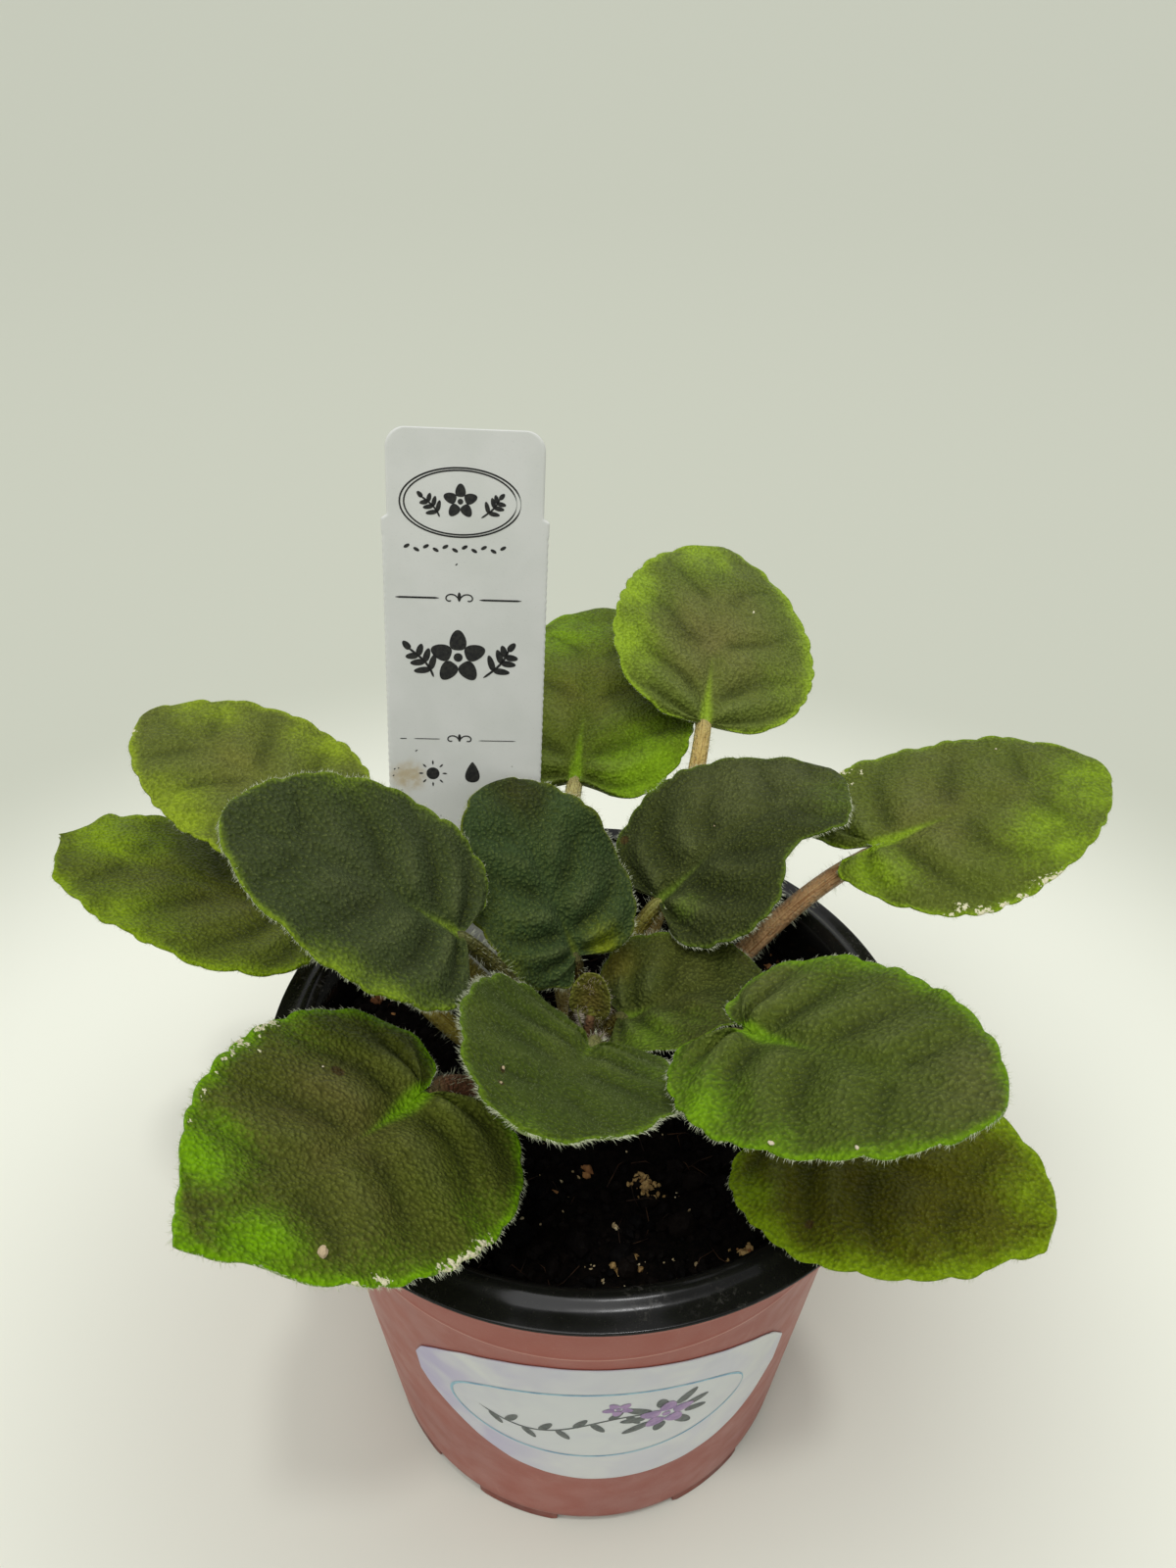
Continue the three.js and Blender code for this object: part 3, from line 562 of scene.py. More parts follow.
def on_blade(leaf, s, w, lift):
    """The point of the blade at s along and w across, lifted off its middle surface"""
    heading, rise, roll = (math.radians(leaf[k]) for k in ("heading", "rise", "roll"))
    bend = math.radians(leaf["droop"]) / leaf["length"]
    slope = rise - bend * s
    along = (math.sin(rise) - np.sin(slope)) / bend
    up = (np.cos(slope) - math.cos(rise)) / bend
    half = leaf["width"] / 2
    cup = math.radians(0.5 if abs(leaf["cup"]) < 0.5 else leaf["cup"])
    turn = cup * w / half
    across = half / cup * np.sin(turn)
    off = half / cup * (1 - np.cos(turn))
    waves = np.sin(3 * math.pi * s / leaf["length"] + np.where(w < 0, 1.3, 0))
    off = off + leaf["wave"] * waves * (w / half) ** 2
    across = across - lift * np.sin(turn)
    off = off + lift * np.cos(turn)
    a = across * math.cos(roll) - off * math.sin(roll)
    n = across * math.sin(roll) + off * math.cos(roll)
    level = along - n * np.sin(slope)
    x = leaf["at"][0] + level * math.cos(heading) - a * math.sin(heading)
    y = leaf["at"][1] + level * math.sin(heading) + a * math.cos(heading)
    z = leaf["at"][2] + up + n * np.cos(slope)
    return np.stack([x, y, z], -1)


def fineness(leaf):
    """Teeth, veins and relief are finer on leaves under 30 mm"""
    return min(1.0, leaf["length"] / 30)


def half_blade(leaf, side, seed, rng, t, fraction):
    """The blade from its midrib to the margin on one side. Gives each point's place along and across, what
    both faces are lifted off the middle surface there, and what the colours need to know."""
    small = fineness(leaf)
    s_edge, w_edge = outline(leaf, side, t)
    m = on_midrib(leaf, t)
    reach = np.hypot(s_edge - m, w_edge)
    arc = np.concatenate([[0], np.cumsum(np.hypot(np.diff(s_edge), np.diff(w_edge)))])
    phase = arc / (TOOTH_PITCH * (0.6 + 0.4 * small)) + 0.35 * np.sin(arc / 6.3 + side)
    depth = TOOTH_DEPTH * small * (0.65 + 0.5 * rng.random(TEETH))[np.floor(phase).astype(int) % TEETH]
    inset = depth * (1 - np.abs(np.sin(math.pi * phase)) ** 0.8) * np.clip(reach / 5, 0, 1)
    v = fraction[None, :]
    pulled = v * (1 - (inset / np.maximum(reach, 1e-6))[:, None] * v**5)
    s = m[:, None] + (s_edge - m)[:, None] * pulled
    w = side * w_edge[:, None] * pulled
    local = np.clip(reach[:, None] / 14, 0, 1)
    flat = np.stack([s, w, np.full_like(s, 3.7 * seed)], -1)
    wander = 0.10 * cloud(flat, 9.0, seed + 3)
    veins = SIDE_VEINS * (t[:, None] + 0.34 * v**1.6 * np.sin(t)[:, None] + wander) / math.pi
    between = np.sin(math.pi * veins) ** 2
    fade = smoothstep(0.0, 0.22, v) * (1 - v**3) * local
    near = np.exp(-np.hypot(s, w) / (0.4 * leaf["length"]))
    relief = leaf["puff"] * (between - 0.4) * fade * (0.8 + 3.0 * near)
    relief = relief + 0.22 * cloud(flat, 5.5, seed + 5) * local * small
    relief = relief + 0.09 * cloud(flat, 2.2, seed + 6) * small
    ripple = np.sin(math.pi * phase + 1.1 * np.sin(arc / 11))[:, None]
    relief = relief + 0.30 * small * ripple * v**4 * np.clip(reach[:, None] / 8, 0, 1)
    taper = np.clip(1 - m / leaf["length"], 0, 1)[:, None]
    rib = bell(w, 0.55 + 0.9 * taper) * (0.15 + 0.85 * taper) * smoothstep(0, 2, m)[:, None]
    side_vein = bell(np.abs(veins - np.round(veins)), 0.055) * fade
    knobs = pebbles(flat, 1.15, seed + 9)
    ends = np.clip(np.sin(t) / 0.1, 0, 1)[:, None]
    relief = relief * ends - crease(leaf, s, w)
    half = HALF_MARGIN * small + (HALF_MIDDLE - HALF_MARGIN) * small * (1 - v**2) * ends
    dips = 0.55 * rib + 0.16 * side_vein - 0.12 * (knobs - 0.5)
    # fold_shading is low in the furrows between the side veins and high on the swellings between them; it
    # only feeds painted shade and painted highlights in the leaf's colour.
    return dict(
        s=s, w=w, m=m, reach=reach, relief=relief, top=relief + half - dips * small * ends,
        bottom=relief - half - 0.20 * side_vein * small * ends, edge=(1 - v) * reach[:, None], rib=rib,
        vein=side_vein, fold_shading=np.clip(0.5 + (between - 0.5) * fade * (0.4 + near), 0, 1),
    )


def flecks(marks, s, w):
    """Round marks, each with its place along and across and its size: 1 in their middles"""
    most = np.zeros_like(s)
    for s_at, w_at, size in marks:
        most = np.maximum(most, np.exp(-(((s - s_at) ** 2 + (w - w_at) ** 2) / size**2) ** 1.5))
    return most


def blade_looks(leaf, seed, s, w, edge, rib):
    """How lime, brown, pale, worn and spotted the blade is at each point"""
    along = s / leaf["length"]
    across = w / (leaf["width"] / 2)
    flat = np.stack([s, w, np.full_like(s, 5.1 * seed)], -1)
    lime = np.zeros_like(s)
    brown = np.full_like(s, 0.25)
    for place, where, radius, amount in leaf["patches"]:
        near = np.exp(-(((along - place) ** 2 + ((across - where) * 0.5) ** 2) / (radius * 0.75) ** 2))
        if amount > 0:
            lime = np.maximum(lime, near * amount)
        else:
            brown = np.maximum(brown, -amount * near)
    rough = 0.5 + 0.5 * cloud(flat, 4.0, seed + 21) + 0.25 * cloud(flat, 1.6, seed + 22)
    margin = np.exp(-edge / (leaf["rim"] * (0.45 + 1.1 * np.clip(rough, 0, 1.4))))
    lime = np.clip(np.maximum(lime * (0.6 + 0.8 * rough), min(0.9, 0.45 + 0.25 * leaf["rim"]) * margin), 0, 1)
    from_notch = along - leaf["sinus"] / leaf["length"]
    line = bell(from_notch, 0.2) * bell(w, 0.7 + leaf["flare"] * bell(from_notch, 0.12)) * leaf["stripe"]
    pale = np.clip(leaf["stripe"] * rib**2 * (0.3 + 0.6 * np.clip(1 - along * 1.6, 0, 1)) + line, 0, 1)
    worn = flecks(leaf["chips"], s, w)
    chunks = smoothstep(-0.35, 0.15, cloud(flat, 2.6, seed + 30))
    for side, start, stop in leaf["worn"]:
        stretch = smoothstep(start, start + 4, s) * smoothstep(stop, stop - 4, s) * (side * w > 0)
        worn = np.maximum(worn, stretch * chunks * bell(edge, 0.8 + 1.3 * rough))
    brown = np.clip(brown * (0.75 + 0.5 * rough), 0, 1)
    return dict(lime=lime, brown=brown, pale=pale, worn=worn, spot=flecks(leaf["spots"], s, w))


def blade(leaf, seed, steps=BLADE_STEPS, strips=BLADE_STRIPS):
    """Both faces of the blade as one closed skin, with scalloped margin, side veins and pebbles.
    Returns points, faces and per-point numbers."""
    rng = np.random.default_rng(seed)
    notch = math.pi - 0.16
    t = [np.linspace(0, notch, steps - NOTCH_STEPS + 1), np.linspace(notch, math.pi, NOTCH_STEPS + 1)[1:]]
    t = np.concatenate(t)
    fraction = 1 - (1 - np.arange(strips + 1) / strips) ** 1.25
    halves = {side: half_blade(leaf, side, seed, rng, t, fraction) for side in (1, -1)}
    columns = []

    def column(side, j, face):
        h = halves[side]
        kept = [h[key][:, j] for key in ("s", "w", face, "edge", "rib", "vein", "fold_shading")]
        columns.append(kept + [np.full_like(kept[0], face == "top")])

    def rim(side):
        h = halves[side]
        grown = 1 + 0.16 * fineness(leaf) / np.maximum(h["reach"], 0.5)
        s = h["m"] + (h["s"][:, -1] - h["m"]) * grown
        zero = np.zeros_like(s)
        columns.append([s, h["w"][:, -1] * grown, h["relief"][:, -1], zero, zero, zero, zero + 0.5, zero + 1])

    for side, face in ((1, "top"), (-1, "bottom")):
        for j in range(strips, -1, -1):
            column(side, j, face)
        for j in range(1, strips + 1):
            column(-side, j, face)
        rim(-side)
    s, w, lift, edge, rib, vein, fold_shading, top = (np.stack([c[k] for c in columns], 1) for k in range(8))
    points = on_blade(leaf, s, w, lift).reshape(-1, 3)
    numbers = dict(blade_looks(leaf, seed, s, w, edge, rib), vein=vein, fold_shading=fold_shading, top=top)
    faces = grid_faces(steps + 1, len(columns), closed=True)
    return points, faces, {k: x.reshape(-1) for k, x in numbers.items()}


def stalk_line(leaf):
    """Centres and radii of the petiole from the crown to the notch and on under the blade, and how many of
    them there are up to the notch"""
    bearing, lift = math.radians(leaf["root"][0]), math.radians(leaf["lift"])
    out = np.array([math.cos(bearing), math.sin(bearing), 0.0])
    start = CROWN_AT + 2.4 * out
    start[2] = leaf["root"][1]
    dip = leaf["dip"]
    end = on_blade(leaf, np.array(0.5), np.array(0.0), -0.6 - dip)
    slope, heading = math.radians(leaf["rise"] + leaf["bend"]), math.radians(leaf["heading"])
    level = math.cos(slope)
    onward = np.array([level * math.cos(heading), level * math.sin(heading), math.sin(slope)])
    span = np.linalg.norm(end - start)
    first = start + span * leaf["reach"][0] * (math.cos(lift) * out + np.array([0, 0, math.sin(lift)]))
    second = end - onward * span * leaf["reach"][1]
    u = np.linspace(0, 1, STALK_STEPS + 1)[:, None]
    line = (1 - u) ** 3 * start + 3 * (1 - u) ** 2 * u * first + 3 * (1 - u) * u**2 * second + u**3 * end
    radii = leaf["stalk"] * (1.08 - 0.2 * u[:, 0])
    radii = radii * (1 + 0.22 * np.exp(-u[:, 0] * span / 3.5))
    share = np.arange(1, RIB_STEPS + 1) / RIB_STEPS
    reach = 0.5 + 0.85 * leaf["length"] * share**1.3
    sinus = leaf["sinus"]
    rib_radii = 0.22 + (0.88 * leaf["stalk"] - 0.22) * np.exp(-np.maximum(reach - 0.6 * sinus, 0) / 9)
    under = smoothstep(0.3, sinus, reach)
    drop = 0.6 * (1 - under) + (0.32 + 0.9 * rib_radii) * under + dip * np.exp(-(reach - 0.5) / 4)
    rib = on_blade(leaf, reach, np.zeros_like(reach), -drop - crease(leaf, reach, 0 * reach))
    return np.concatenate([line, rib]), np.concatenate([radii, rib_radii]), len(line)


# Hairs: thin closed spikes, some with a bend
def copies(shape, per, count):
    """The same faces for each of count groups of per points"""
    shape = np.asarray(shape)
    return (shape[None] + per * np.arange(count)[:, None, None]).reshape(-1, shape.shape[1]).tolist()


def spikes(roots, tips, width, bends=None):
    """Points and faces of one slender spike from each root to its tip"""
    count = len(roots)
    along = tips - roots
    level = np.abs(along[:, 2:3]) < 0.8 * np.linalg.norm(along, axis=1, keepdims=True)
    across = np.cross(along, np.where(level, np.array([[0.0, 0.0, 1.0]]), np.array([[1.0, 0.0, 0.0]])))
    across /= np.linalg.norm(across, axis=1, keepdims=True)
    third = np.cross(along, across)
    third /= np.linalg.norm(third, axis=1, keepdims=True)
    corners = [math.cos(a) * across + math.sin(a) * third for a in (0, TAU / 3, TAU * 2 / 3)]
    base = [roots + width * c for c in corners]
    if bends is None:
        points = np.stack(base + [tips], 1)
        return points.reshape(-1, 3), copies([[0, 1, 3], [1, 2, 3], [2, 0, 3], [0, 2, 1]], 4, count)
    middle = (roots + tips) / 2 + bends
    points = np.stack(base + [middle + 0.7 * width * c for c in corners] + [tips], 1)
    faces = copies([[0, 1, 4, 3], [1, 2, 5, 4], [2, 0, 3, 5]], 7, count)
    faces += copies([[3, 4, 6], [4, 5, 6], [5, 3, 6], [0, 2, 1]], 7, count)
    return points.reshape(-1, 3), faces


def unit(v):
    return v / np.maximum(np.linalg.norm(v, axis=-1, keepdims=True), 1e-9)


def diagonals_crossed(points, quads):
    """For each quad a normal that is twice as long as the quad is large"""
    a, b, c, d = (points[quads[:, k]] for k in range(4))
    return np.cross(c - a, d - b)


def sample_surface(points, quads, count, rng):
    """Random places on quads, even by area, with their normals"""
    a, b, c, d = (points[quads[:, k]] for k in range(4))
    normal = diagonals_crossed(points, quads)
    area = np.linalg.norm(normal, axis=1) / 2
    pick = rng.choice(len(quads), count, p=area / area.sum())
    u, v = rng.random(count)[:, None], rng.random(count)[:, None]
    place = (1 - u) * (1 - v) * a[pick] + u * (1 - v) * b[pick] + u * v * c[pick] + (1 - u) * v * d[pick]
    return place, unit(normal[pick])


def part_way(rows, at, column):
    """Points in a column of a grid at fractional row numbers"""
    row = at.astype(int)
    part = (at - row)[:, None]
    return rows[row, column] * (1 - part) + rows[row + 1, column] * part


# Leaf pieces. LOOKS are the numbers kept at each point for the colours; stem is 1 on a petiole, where
# streak runs along it and around goes round it.
LOOKS = ("lime", "brown", "pale", "vein", "top", "fold_shading", "worn", "spot", "stem", "streak", "around")


def leaf_material(name, tone, stem, sheen):
    deep, centre, lime = tone
    sh = Shader(name, Specular_IOR_Level=0.26, Sheen_Weight=sheen, Sheen_Roughness=0.5)
    sh.surface.inputs["Specular Tint"].default_value = (0.75, 0.85, 0.14, 1)
    sh.surface.inputs["Sheen Tint"].default_value = linear("bccb98")
    colour = sh.mix(sh.attribute("brown"), deep, centre)
    colour = sh.mix(sh.spread(sh.noise(11, 3), 0.35, 0.7, 0, 0.4), colour, deep)
    streaky = sh.spread(sh.noise(0.55, 2, 0.5), 0.3, 0.7, -0.1, 0.1)
    streaky = sh.math("ADD", sh.attribute("lime"), streaky)
    colour = sh.mix(sh.spread(streaky, 0.05, 0.95), colour, lime)
    colour = sh.mix(sh.spread(sh.attribute("pale"), 0.15, 1.0, 0, 0.8), colour, lime)
    # Painted shade in the furrows between the side veins and painted highlights on the swellings between
    # them.
    colour = sh.mix(sh.spread(sh.attribute("fold_shading"), 0.5, 0.0, 0, 0.5), colour, "4a5238", blend="MULTIPLY")
    colour = sh.mix(sh.spread(sh.attribute("fold_shading"), 0.6, 1.0, 0, 0.1), colour, "9aa368")
    # Darker along the side veins: painted shade in their sunken lines.
    colour = sh.mix(sh.math("MULTIPLY", sh.attribute("vein"), 0.2), colour, "1e2b12")
    grain = sh.cells(0.52, "SMOOTH_F1")
    # Painted shade in the pores between the pebbles and painted highlights on the pebble tops.
    colour = sh.mix(sh.spread(grain, 0.25, 0.75, 0, 0.4), colour, "565e30", blend="MULTIPLY")
    colour = sh.mix(sh.spread(grain, 0.28, 0.08, 0, 0.13), colour, "a3ac5e")
    colour = sh.mix(sh.spread(sh.attribute("spot"), 0.25, 0.6, 0, 0.85), colour, "3d2a18")
    torn = sh.spread(sh.noise(0.8, 3, 0.6), 0.3, 0.62, 0.15, 1.0)
    torn = sh.math("SUBTRACT", sh.attribute("worn"), torn)
    colour = sh.mix(sh.spread(torn, 0.02, 0.14), colour, "dcd7b4")
    under = sh.math("SUBTRACT", 1.0, sh.attribute("top"))
    colour = sh.mix(sh.math("MULTIPLY", under, 0.7), colour, "8a9468")
    lines = sh.add("CombineXYZ")
    sh.feed(lines.inputs[0], sh.attribute("around"))
    sh.feed(lines.inputs[1], sh.math("MULTIPLY", sh.attribute("streak"), 0.05))
    fine = sh.add("TexNoise")
    sh.feed(fine.inputs["Vector"], lines.outputs[0])
    fine.inputs["Scale"].default_value = 1.9
    fine.inputs["Detail"].default_value = 3.0
    streaks = fine.outputs["Fac"]
    stalk = sh.mix(sh.spread(streaks, 0.5, 0.66, 0, 0.75), stem, "a0705a", blend="MULTIPLY")
    stalk = sh.mix(sh.spread(streaks, 0.46, 0.32, 0, 0.16), stalk, "d8cc9c")
    stalk = sh.mix(sh.spread(sh.noise(2.5, 3), 0.4, 0.7, 0, 0.35), stalk, "9a7a5c", blend="MULTIPLY")
    stalk = sh.mix(sh.spread(sh.attribute("streak"), 5, 30, 0.75, 0), stalk, "8a7550", blend="MULTIPLY")
    colour = sh.mix(sh.attribute("stem"), colour, stalk)
    rough = sh.spread(sh.noise(3, 3), 0.3, 0.7, 0.36, 0.5)
    normal = sh.bump(sh.spread(grain, 0.1, 0.8, 1.0, 0.0), 0.24)
    normal = sh.bump(sh.noise(0.32, 2, 0.6), 0.08, before=normal)
    return sh.finish(colour, rough, normal)


def hair_material(name, colour, bright=0.35):
    """bright = how far some hairs go towards white"""
    sh = Shader(name, Roughness=0.55, Specular_IOR_Level=0.3)
    tint = sh.mix(sh.spread(sh.noise(6, 2), 0.3, 0.7, 0, bright), colour, "eef0dc")
    return sh.finish(tint)


def blade_down(leaf, rng, grid, quads, is_top):
    """Short hairs all over both faces of the blade"""
    points = grid.reshape(-1, 3)
    row = grid[BLADE_STEPS // 2]
    through = row[BLADE_STRIPS] - row[3 * BLADE_STRIPS + 2]
    faces = ((is_top[quads].min(1) > 0.5, through, DOWN_ABOVE, leaf["velvet"]),
             (is_top[quads].max(1) < 0.5, -through, DOWN_BELOW, 0.6))
    down = Build()
    for chosen, outward, density, length in faces:
        some = quads[chosen]
        number = int(np.linalg.norm(diagonals_crossed(points, some), axis=1).sum() / 2 * density)
        place, normal = sample_surface(points, some, number, rng)
        _, tried = sample_surface(points, some, 200, np.random.default_rng(1))
        if (tried @ outward).sum() < 0:
            normal = -normal
        lean = rng.normal(size=(number, 3)) * 0.38
        tall = length * (0.55 + 0.7 * rng.random((number, 1)))
        down.add(*spikes(place - 0.05 * normal, place + tall * unit(normal + lean), DOWN_WIDTH))
    return down


def leaf_fringe(leaf, rng, grid, centres, rings):
    """Longer hairs on both margins and round the petiole"""
    fringe = Build()
    roots, outs = [], []
    for rim, inner in ((2 * BLADE_STRIPS + 1, 2 * BLADE_STRIPS - 3), (grid.shape[1] - 1, 4)):
        number = int(FRINGE_HAIRS * leaf["fringe"] * leaf["length"] / 44)
        at = rng.random(number) * (BLADE_STEPS - 1)
        roots.append(part_way(grid, at, rim))
        outs.append(unit(roots[-1] - part_way(grid, at, inner)))
    root, out = np.concatenate(roots), np.concatenate(outs)
    tall = (0.4 + 0.65 * rng.random((len(root), 1)) ** 1.5) * (0.5 + 0.5 * leaf["fringe"])
    aim = unit(out + rng.normal(size=root.shape) * 0.33)
    bend = rng.normal(size=root.shape) * 0.09
    fringe.add(*spikes(root - 0.1 * out, root + tall * aim, FRINGE_WIDTH, bend))
    number = int(STALK_HAIRS * sum(np.linalg.norm(np.diff(centres, axis=0), axis=1)) * leaf["stalk"] * 3.4)
    at = rng.random(number) * (len(rings) - 1)
    root = part_way(rings, at, rng.integers(0, STALK_SIDES, number))
    out = unit(root - part_way(centres[:, None], at, 0))
    tall = 0.8 + 0.9 * rng.random((number, 1))
    aim = unit(out + rng.normal(size=root.shape) * 0.3)
    bend = rng.normal(size=root.shape) * 0.1
    fringe.add(*spikes(root - 0.1 * out, root + tall * aim, STALK_HAIR_WIDTH, bend))
    return fringe


def make_leaf(name, leaf, seed, hairs):
    rng = np.random.default_rng(seed + 400)
    points, faces, numbers = blade(leaf, seed)
    centres, radii, joint = stalk_line(leaf)
    rings = tube_points(centres, radii, STALK_SIDES, ridge=0.05)
    count = len(centres)
    past = np.clip((np.arange(count) - joint + 4) / 10.0, 0, 1)
    travel = np.concatenate([[0], np.cumsum(np.linalg.norm(np.diff(centres, axis=0), axis=1))])
    around = 10 * np.abs(2 * np.arange(STALK_SIDES) / STALK_SIDES - 1) + 0.37 * seed
    body = Build(*LOOKS)
    body.add(points, faces, **numbers)
    body.add(rings, tube_faces(count, STALK_SIDES), stem=np.repeat(1 - 0.75 * past, STALK_SIDES),
             streak=np.repeat(travel, STALK_SIDES), around=np.tile(around, count), lime=0.3, pale=0.4)
    skin = leaf_material(name + "_skin", leaf["tone"], leaf["stem"], leaf["sheen"])
    body.make(name + "_skin", [skin], "leaf", stands_for=(name,), weld=0.004)
    grid = points.reshape(BLADE_STEPS + 1, -1, 3)
    down = blade_down(leaf, rng, grid, np.asarray(faces), numbers["top"])
    fringe = leaf_fringe(leaf, rng, grid, centres[3:joint], rings[3:joint])
    fringe.make(name + "_fringe", [hairs], "leaf")
    down.make(name + "_down", [hair_material(name + "_down", leaf["down"], 0.1)], "leaf")


# Grains on the leaves: leaf, place along and across, size, 1 for tan ones and 0 for white ones
SPECKS = (
    ("leaf_13", 13.9, -11.1, 0.34, 0), ("leaf_13", 35.8, 9.7, 0.8, 1), ("leaf_11", 19.1, -15.9, 0.42, 0),
    ("leaf_11", 28.7, -12.2, 0.36, 0), ("leaf_13", 22, 2.5, 0.16, 0), ("leaf_10", 28.3, -6.8, 0.3, 1),
    ("leaf_10", 32, -5.8, 0.28, 1), ("leaf_11", 12, 9, 0.22, 0), ("leaf_02", 30, -8, 0.2, 0),
    ("leaf_07", 18, 4, 0.2, 1), ("leaf_08", 36, 12, 0.22, 0),
)


def make_specks():
    """Grains of perlite and soil that lie on the leaves"""
    rng = np.random.default_rng(41)
    shape, faces = icosphere(2)
    build = Build("shade")
    for name, along, across, size, tan in SPECKS:
        at = on_blade(LEAVES[name], np.array(along), np.array(across), 0.45 + 0.4 * size)
        lumps = shape * (1 + 0.3 * (rng.random((len(shape), 1)) - 0.5)) * size * np.array([1, 0.75, 0.6])
        build.add(at + lumps @ random_turns(rng, 1)[0].T, faces, shade=0.25 * tan + 0.6 * (1 - tan))
    bits = bit_material("leaf_specks", "a88a58", "efe9d6", "cdb98a")
    build.make("leaf_specks", [bits], "leaf", smooth=False)


# Crown
def facing(normal, out):
    """Normals turned to the side that out points to"""
    return np.where(((normal * out).sum(1) < 0)[:, None], -normal, normal)


def make_crown():
    rng = np.random.default_rng(77)
    profile = np.array([
        (0.05, CROWN_BOTTOM), (2.6, CROWN_BOTTOM + 0.4), (CROWN_RADIUS - 1, CROWN_BOTTOM + 8),
        (CROWN_RADIUS, CROWN_BOTTOM + 14), (CROWN_RADIUS + 0.1, CROWN_TOP - 6),
        (CROWN_RADIUS - 0.3, CROWN_TOP - 3.6), (CROWN_RADIUS - 1.2, CROWN_TOP - 2),
        (CROWN_RADIUS - 2.4, CROWN_TOP - 1), (CROWN_RADIUS - 4, CROWN_TOP - 0.4), (0.05, CROWN_TOP - 0.2),
    ])
    u = np.linspace(0, len(profile) - 1, 46)
    radius, height = (np.interp(u, np.arange(len(profile)), profile[:, k])[:, None] for k in (0, 1))
    sides = 40
    angle = TAU * np.arange(sides) / sides
    base = np.stack([radius * np.cos(angle), radius * np.sin(angle),
                     np.broadcast_to(height, (len(u), sides))], -1)
    lumps = 0.55 * cloud(base, 2.6, 3) + 0.3 * cloud(base, 1.1, 4)
    base[..., :2] *= (1 + lumps / np.maximum(radius, 1.5))[..., None]
    base[..., 2] += 0.35 * cloud(base, 1.7, 5)
    stem_points = (base + CROWN_AT).reshape(-1, 3)
    body = Build(*LOOKS)
    body.add(stem_points, tube_faces(len(u), sides), stem=1.0, streak=base[..., 2].reshape(-1),
             around=np.tile(0.5 * np.arange(sides), len(u)))
    blades = [blade(leaf, 900 + k, YOUNG_STEPS, YOUNG_STRIPS) for k, leaf in enumerate(YOUNG_LEAVES)]
    for points, faces, numbers in blades:
        body.add(points, faces, **numbers)
    share = np.linspace(0, 1, 12)[:, None]
    foot, head = np.array([-1.2, -3.4, 90.2]), np.array(YOUNG_LEAVES[0]["at"]) + (0, 0, 0.6)
    stalk = tube_points(foot * (1 - share) + head * share, 1.1 - 0.35 * share[:, 0], 12, ridge=0.05)
    body.add(stalk, tube_faces(12, 12), stem=0.9, around=1.0)
    skin = leaf_material("crown_skin", YOUNG["tone"], "b08672", YOUNG["sheen"])
    body.make("crown_skin", [skin], "crown", stands_for=("crown",), weld=0.004)
    down = Build()
    quads = np.asarray(grid_faces(len(u), sides, closed=True))
    upper = stem_points[quads].mean(1)[:, 2] > SOIL_TOP + 0.4
    place, normal = sample_surface(stem_points, quads[upper], CROWN_HAIRS, rng)
    normal = facing(normal, place - (CROWN_AT + np.array([0, 0, 84.0])))
    tall = 1.0 + 1.6 * rng.random((len(place), 1))
    aim = unit(normal + np.array([0, 0, 0.5]) + rng.normal(size=place.shape) * 0.45)
    bend = rng.normal(size=place.shape) * 0.15
    down.add(*spikes(place - 0.1 * normal, place + tall * aim, CROWN_HAIR_WIDTH, bend))
    for points, faces, _ in blades:
        place, normal = sample_surface(points, np.asarray(faces), YOUNG_HAIRS, rng)
        normal = facing(normal, place - points.mean(0))
        tall = 0.6 + 0.7 * rng.random((len(place), 1))
        aim = unit(normal + rng.normal(size=place.shape) * 0.4)
        down.add(*spikes(place, place + tall * aim, STALK_HAIR_WIDTH))
    down.make("crown_hairs", [hair_material("crown_hairs", "d6bfae")], "crown")


# Pot
def rounded(profile):
    """Profile points with each corner turned into a small curve; a corner's third number is its cut"""
    made = [np.array(profile[0], float)]
    for before, corner, after in zip(profile, profile[1:-1], profile[2:]):
        before, here, after = (np.array(p[:2], float) for p in (before, corner, after))
        a = min(corner[2], 0.45 * np.linalg.norm(before - here)) * unit(before - here) + here
        b = min(corner[2], 0.45 * np.linalg.norm(after - here)) * unit(after - here) + here
        for u in (0, 0.25, 0.5, 0.75, 1):
            made.append((1 - u) ** 2 * a + 2 * u * (1 - u) * here + u**2 * b)
    made.append(np.array(profile[-1], float))
    return np.array(made)


